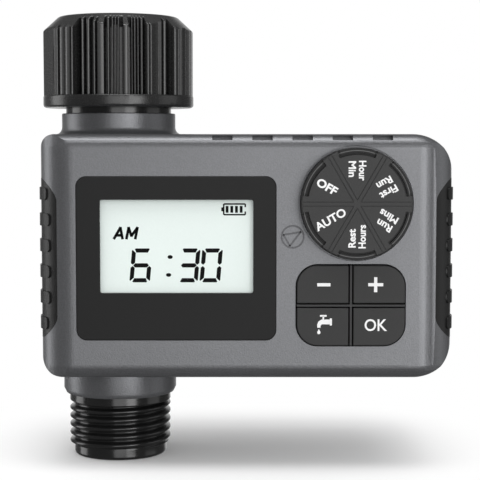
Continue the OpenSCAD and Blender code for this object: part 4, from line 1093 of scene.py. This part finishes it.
@dataclass
class Display(SubAssembly):
    """The black panel, the LCD with what it shows, and the frame behind it."""

    copies: tuple = (
        Copy("display_panel", "panel", PANEL, 0.25),
        Copy("lcd_glass", "lcd", LCD, 0.1),
        Copy("lcd_holder", "lcd_frame", WHITE_PLASTIC, 0.15),
    )
    digit_h: float = 8.5
    digit_w: float = 5.15
    digit_z: float = -63.45
    digits: tuple = (("6", 7.45), ("3", 19.4), ("0", 25.0))
    stroke: float = 1.04
    gap: float = 0.1
    nick: float = 0.18
    lean: float = 0.087
    colon_x: float = 14.55
    dots: tuple = (2.1, -2.4)
    dot: Point = (0.66, 0.48)
    segments: dict = field(default_factory=lambda: {"0": "abcdef", "3": "abcdg", "6": "acdefg"})
    sign_box: tuple = (27.95, -50.95, 33.7, -47.9)  # left, lower, right and upper
    sign_line: float = 0.38
    sign_nub: tuple = (-0.42, -49.92, 0.1, -48.93)  # beside the left side
    charge: tuple = (4, 0.7, 1.17, 0.68)  # bars, width, pitch and distance from the box
    letters_at: Point = (0.75, -56.75)
    letter_h: float = 2.75
    letter_lean: float = 0.2
    letter_line: float = 0.68
    letters: tuple = (
        ((0.0, 0.0), (1.05, 1.0), (2.1, 0.0)),
        ((0.38, 0.3), (1.72, 0.3)),
        ((3.1, 0.0), (3.1, 1.0), (4.2, 0.25), (5.3, 1.0), (5.3, 0.0)),
    )

    def build(self) -> None:
        """Makes every piece."""
        super().build()
        for name, outlines in (("clock_digits", self.time()), ("battery_sign", self.battery_sign()),
                               ("half_day_sign", self.half_day_sign())):
            draft = Draft().plates(outlines, front_of("lcd_glass"))
            draft.piece(name, "timer", "lcd", SEGMENT)
            log.info("%s: %d shapes", name, len(outlines))

    def bar(self, kind: str) -> list[Point]:
        """Outline of one segment of a digit whose centre is the origin."""
        w, h, s = self.digit_w / 2, self.digit_h / 2, self.stroke / 2
        gap, nick = self.gap, self.nick  # shares of the half stroke below give the mitres
        if kind == "g":
            near, far = w - 2 * s, w - s - gap
            return [(-far, 0), (-near, s), (near, s), (far, 0), (near, -s), (-near, -s)]
        if kind in "ad":
            up = 1 if kind == "a" else -1
            z = up * (h - s)
            far, near = w - s - gap - nick, w - 2 * s - gap
            out, inside, tip = z + up * s, z - up * s, z + up * (s - nick)
            points = [(-far + nick, out), (far - nick, out), (far + nick / 2, tip),
                      (near, inside), (-near, inside), (-far - nick / 2, tip)]
            return points if up > 0 else points[::-1]
        side = 1 if kind in "bc" else -1
        up = 1 if kind in "bf" else -1
        x, z0, z1 = side * (w - s), gap, h - gap
        far, near = x + side * s, x - side * s
        points = [(far, z0 + s * 0.9), (far, z1 - nick - s * 0.55),
                  (far - side * nick, z1 - s * 0.5), (near, z1 - 2 * s), (near, z0 + s * 1.1),
                  (x, z0 + 0.05)]
        return [(px, up * pz) for px, pz in points]

    def time(self) -> list[list[Point]]:
        """Outlines of the clock's digits and colon."""
        outlines = [[(x + px + self.lean * pz, self.digit_z + pz) for px, pz in self.bar(kind)]
                    for digit, x in self.digits for kind in self.segments[digit]]
        return outlines + [oval((self.colon_x + self.lean * z, self.digit_z + z), *self.dot)
                           for z in self.dots]

    def half_day_sign(self) -> list[list[Point]]:
        """Outlines of the letters AM, slanted, as strokes."""
        x0, z0 = self.letters_at
        strokes = []
        for line in self.letters:
            spots = [(x0 + x + self.letter_lean * z * self.letter_h, z0 + z * self.letter_h)
                     for x, z in line]
            strokes += [beam(*pair, self.letter_line) for pair in zip(spots, spots[1:])]
        return strokes

    def battery_sign(self) -> list[list[Point]]:
        """Outlines of a battery with four bars."""
        x0, z0, x1, z1 = self.sign_box
        line, nub = self.sign_line, self.sign_nub
        sides = ((x0 + 0.2, z1 - line, x1 - 0.2, z1), (x0 + 0.2, z0, x1 - 0.2, z0 + line),
                 (x0, z0 + 0.15, x0 + line, z1 - 0.15), (x1 - line, z0 + 0.15, x1, z0 + 1.0),
                 (x1 - line, z1 - 1.0, x1, z1 - 0.15), (x0 + nub[0], nub[1], x0 + nub[2], nub[3]))
        count, width, pitch, inset = self.charge
        lefts = [x0 + inset + pitch * i for i in range(count)]
        return [rounded(*side, 0.12, 2) for side in sides] + [
            rounded(left, z0 + inset, left + width, z1 - inset, 0.05, 1) for left in lefts]


# ---------- Dial ----------


@dataclass
class Dial(SubAssembly):
    """The selector dial with its printed sectors, and its seal."""

    copies: tuple = (
        Copy("dial_seal", "rubber_seal", SEAL, 0.1),
    )
    soft: float = 0.1
    crisp: float = 14.0  # edges over this angle, in degrees, stay sharp
    # Each sector's angle and its words; a word's distance from the centre and shift across
    sectors: tuple = (
        (150.0, ((Label("OFF", 2.15, 5.4, 0.035), 8.6, 0.0),)),
        (210.0, ((Label("AUTO", 2.15, 8.3, 0.03), 7.6, 0.0),)),
        (90.0, ((Label("Hour", 1.85, 4.9, 0.03), 8.2, 1.25),
                (Label("Min", 1.85, 3.9, 0.03), 8.6, -1.25))),
        (30.0, ((Label("First", 1.85, 4.6, 0.03), 8.2, 1.25),
                (Label("Run", 1.85, 4.0, 0.03), 8.4, -1.25))),
        (330.0, ((Label("Run", 1.85, 4.0, 0.03), 8.4, 1.25),
                 (Label("Mins", 1.85, 4.9, 0.03), 8.2, -1.25))),
        (270.0, ((Label("Rest", 1.85, 4.6, 0.03), 8.4, 1.25),
                 (Label("Hours", 1.85, 5.8, 0.03), 8.0, -1.25))),
    )

    def build(self) -> None:
        """Makes every piece."""
        super().build()
        draft = Draft.of_node("selector_dial").soften(self.soft)
        draft.piece("selector_dial_skin", "dial", "dial", DIAL_GREY, "selector_dial",
                    sharp=self.crisp)
        self.print_words()

    def print_words(self) -> None:
        """Words of the sectors, each read from the rim towards the centre."""
        low, high = box_of("selector_dial")
        centre = Vector(((low.x + high.x) / 2, (low.z + high.z) / 2))
        sheet = Draft()
        for angle, words in self.sectors:
            out = Vector((math.cos(math.radians(angle)), math.sin(math.radians(angle))))
            across = Vector((out.y, -out.x))
            for word, r, shift in words:
                spot = centre + out * r + across * shift
                sheet.join(word.draw(tuple(spot), angle + 180.0, low.y))
        sheet.piece("dial_print", "dial", "dial", PRINT)
        log.info("dial print")


# ---------- Keys ----------


@dataclass
class Keys(SubAssembly):
    """Four keys with their signs, and the membrane under them."""

    copies: tuple = (
        *(Copy(f"key_{name}", "keys", KEY_GREY, 0.22, f"{name}_key")
          for name in ("minus", "plus", "manual", "ok")),
        Copy("keypad_membrane", "rubber_seal", MEMBRANE, 0.06),
    )
    minus: tuple = (51.4, -68.5, 54.7, -67.7)
    plus_at: Point = (65.95, -68.08)
    plus_arm: Point = (1.87, 0.4)
    tap_at: Point = (51.0, -80.6)
    drop_at: Point = (0.85, 0.62)
    drop_half: Point = (0.42, 0.5)
    drop_tip: Point = (0.55, 1.45)  # how its top is narrowed and drawn out
    drop_steps: int = 18
    ok_at: Point = (66.05, -78.2)

    def build(self) -> None:
        """Makes every piece."""
        super().build()
        face = front_of("key_ok")
        for name, key, outlines in (("minus_sign", "minus_key", [rounded(*self.minus, 0.06, 1)]),
                                    ("plus_sign", "plus_key", [self.plus()]),
                                    ("tap_sign", "manual_key", self.tap())):
            Draft().plates(outlines, face).piece(name, key, "keys", PRINT)
        word = Label("OK", 3.0, 5.6, 0.012).draw(self.ok_at, 0.0, face)
        word.piece("ok_sign", "ok_key", "keys", PRINT)
        log.info("key signs")

    def plus(self) -> list[Point]:
        """Outline of a cross."""
        reach, half = self.plus_arm
        cross = [(half, half), (half, reach), (-half, reach), (-half, half), (-reach, half),
                 (-reach, -half), (-half, -half), (-half, -reach), (half, -reach), (half, -half),
                 (reach, -half), (reach, half)]
        return [(self.plus_at[0] + x, self.plus_at[1] + z) for x, z in cross]

    def tap(self) -> list[list[Point]]:
        """Outlines of a small tap with a drop, in plain shapes."""
        body = ((0.45, 1.75), (1.25, 1.75), (1.3, 2.3), (1.6, 2.6), (3.6, 2.6), (3.6, 3.8),
                (1.5, 3.8), (0.75, 3.3), (0.45, 2.6))
        drop = []
        for k in range(self.drop_steps):
            a = math.tau * k / self.drop_steps
            wide, tall = (1, 1) if math.cos(a) < 0.2 else self.drop_tip
            drop.append((self.drop_at[0] + self.drop_half[0] * math.sin(a) * wide,
                         self.drop_at[1] + self.drop_half[1] * math.cos(a) * tall))
        shapes = (rounded(3.55, 2.3, 4.1, 4.1, 0.12, 2), body,
                  rounded(1.75, 3.75, 2.15, 4.65, 0.05, 1), rounded(1.1, 4.5, 2.8, 4.95, 0.15, 2),
                  drop)
        return [[(self.tap_at[0] + x, self.tap_at[1] + z) for x, z in shape] for shape in shapes]


# ---------- Board and power ----------


@dataclass
class Electronics(SubAssembly):
    """The board with its screws and switches."""

    copies: tuple = (
        Copy("main_board", "board", BOARD, 0.08),
        Copy("board_screws", "steel", STEEL, 0.12),
        Copy("tact_switches", "switches", SEAL, 0.1),
        Copy("selector_switch", "selector", SELECTOR, 0.15),
    )


@dataclass
class Power(SubAssembly):
    """The tray with its cells and contacts, and the cover with its seal."""

    copies: tuple = (
        Copy("battery_tray", "tray", GREY_PLASTIC, 0.12),
        Copy("battery_cell_upper", "cells", CELL, 0.3),
        Copy("battery_cell_lower", "cells", CELL, 0.3),
        Copy("battery_contacts", "steel", STEEL, 0.06),
        Copy("battery_cover", "cover", PEARL, 0.2, "battery_lid"),
        Copy("cover_seal", "seal_orange", SEAL_ORANGE, 0.08, "battery_lid"),
    )


# ---------- Studio (in metres, the eye in millimetres) ----------


@dataclass(frozen=True)
class Softbox:
    """A soft lamp by its direction from the object: azimuth from the front towards +X."""

    name: str
    azimuth: float
    elevation: float
    distance: float
    width: float
    height: float
    level: float

    def hang(self, target: Vector) -> None:
        """Hangs the lamp towards a point, with the power that gives its face its level."""
        a, e = math.radians(self.azimuth), math.radians(self.elevation)
        way = Vector((math.sin(a) * math.cos(e), -math.cos(a) * math.cos(e), math.sin(e)))
        light = bpy.data.lights.new(self.name, "AREA")
        light.shape = "RECTANGLE"
        light.size = self.width
        light.size_y = self.height
        light.energy = self.level * math.pi * self.width * self.height
        obj = bpy.data.objects.new(self.name, light)
        obj.location = target + way * self.distance
        obj.rotation_euler = (-way).to_track_quat("-Z", "Y").to_euler()
        bpy.context.scene.collection.objects.link(obj)


@dataclass
class Studio:
    """Floor, lamps, background and camera."""

    eye: tuple = (32.2, -373.5, -32.7)
    pitch: float = 4.0
    lens: float = 105.0
    aim: tuple = (0.033, 0.0, -0.055)
    lamps: tuple = (
        Softbox("key_right", 28.0, 0.0, 1.1, 0.44, 0.80, 2.7),
        Softbox("key_left", 1.0, 0.0, 1.1, 0.56, 0.80, 1.25),
        Softbox("overhead", 0.0, 74.0, 0.62, 0.42, 0.30, 4.0),
        Softbox("left_strip", -101.0, 4.0, 0.8, 0.36, 0.8, 1.6),
        Softbox("left_back_strip", -132.0, 4.0, 0.8, 0.24, 0.8, 0.06),
        Softbox("right_strip", 86.0, 4.0, 0.8, 0.52, 0.8, 0.4),
    )
    floor_z: float = -0.1159
    floor_half: float = 1.2
    print_half: Point = (0.0375, 0.018)
    print_at: Point = (0.0255, 0.006)
    fade: float = 0.045
    least: float = 0.07
    floor_seen: float = 0.90
    floor_else: float = 0.35
    backdrop: Point = (0.82, 0.99)
    ambient: float = 0.95
    dim: float = 0.10

    def build(self) -> None:
        """Makes the studio."""
        self.floor()
        self.sky()
        for lamp in self.lamps:
            lamp.hang(Vector(self.aim))
        self.camera()
        bpy.context.scene.view_settings.view_transform = "Standard"
        log.info("studio")

    def floor(self) -> None:
        """A pale floor under the outlet, which fades into the white background."""
        bm = bmesh.new()
        bmesh.ops.create_grid(bm, x_segments=1, y_segments=1, size=self.floor_half)
        bmesh.ops.translate(bm, vec=(0, 0, self.floor_z), verts=bm.verts[:])
        mesh = bpy.data.meshes.new("floor")
        bm.to_mesh(mesh)
        bm.free()
        mesh.materials.append(self.floor_material())
        obj = bpy.data.objects.new("floor", mesh)
        obj.visible_glossy = False
        obj.visible_shadow = False
        bpy.context.scene.collection.objects.link(obj)

    def floor_material(self) -> bpy.types.Material:
        """White to the eye away from the object's footprint, pale under and beside it."""
        material = bpy.data.materials.new("floor_white")
        material.use_nodes = True
        tree = material.node_tree
        shader = tree.nodes["Principled BSDF"]
        shader.inputs["Roughness"].default_value = 0.9
        shader.inputs["Specular IOR Level"].default_value = 0.0
        seen = self.rays(tree)
        tone = self.pick(tree, seen, self.floor_else, self.floor_seen)
        tree.links.new(tone, shader.inputs["Base Color"])
        spot = node(tree, "TexCoord", {}).outputs["Object"]
        none = (0.0, 0.0, 0.0)
        for operation, other in (("SUBTRACT", (*self.print_at, self.floor_z)), ("ABSOLUTE", none),
                                 ("SUBTRACT", (*self.print_half, 0.0)), ("MAXIMUM", none)):
            spot = node(tree, "VectorMath", {0: spot, 1: other}, operation=operation).outputs[0]
        away = node(tree, "VectorMath", {0: spot}, operation="LENGTH").outputs["Value"]
        share = span(tree, away, 0.0, self.fade, self.least, interpolation_type="SMOOTHSTEP")
        glow = node(tree, "Emission", {}).outputs[0]
        blend = node(tree, "MixShader", {0: self.pick(tree, seen, 0.0, share),
                                         1: shader.outputs[0], 2: glow})
        tree.links.new(blend.outputs[0], tree.nodes["Material Output"].inputs["Surface"])
        return material

    def sky(self) -> None:
        """A dim room with a white backdrop behind the object, and a white background."""
        world = bpy.data.worlds.new("studio_world")
        world.use_nodes = True
        bpy.context.scene.world = world
        tree = world.node_tree
        way = node(tree, "TexCoord", {}).outputs["Generated"]
        back = node(tree, "SeparateXYZ", {0: way}).outputs["Y"]
        behind = span(tree, back, *self.backdrop, self.dim)
        shiny = node(tree, "LightPath", {}).outputs["Is Glossy Ray"]
        glossy = self.pick(tree, shiny, self.ambient, behind)
        sky = tree.nodes["Background"].inputs
        sky["Color"].default_value = (1, 1, 1, 1)
        tree.links.new(self.pick(tree, self.rays(tree), glossy, 1.0), sky["Strength"])

    @staticmethod
    def rays(tree: Tree) -> Socket:
        """Adds a mask of the rays that the eye sees, straight or through glass."""
        path = node(tree, "LightPath", {}).outputs
        return node(tree, "Math", {0: path["Is Camera Ray"], 1: path["Is Transmission Ray"]},
                    operation="MAXIMUM").outputs[0]

    @staticmethod
    def pick(tree: Tree, mask: Socket, low: Socket | float, high: Socket | float) -> Socket:
        """Adds a mix of two levels by a mask; each level is a number or an output."""
        return node(tree, "Mix", {0: mask, 2: low, 3: high}).outputs[0]

    def camera(self) -> None:
        """The camera of the front view."""
        data = bpy.data.cameras.new("camera")
        data.lens = self.lens
        data.sensor_width = 36.0
        data.clip_start = 0.01
        data.clip_end = 20.0
        obj = bpy.data.objects.new("camera", data)
        obj.location = Vector(self.eye) * MM
        obj.rotation_euler = (math.radians(90.0 - self.pitch), 0, 0)
        bpy.context.scene.collection.objects.link(obj)
        bpy.context.scene.camera = obj


def main() -> None:
    """Builds every sub-assembly in order and notes each one in the log."""
    logging.basicConfig(level=logging.INFO, format="%(message)s")
    for part in (Studio(), Housing(), SwivelNut(), Valve(), Display(), Dial(), Keys(),
                 Electronics(), Power()):
        part.build()
        log.info("%s done", type(part).__name__)


if __name__ == "__main__":
    main()
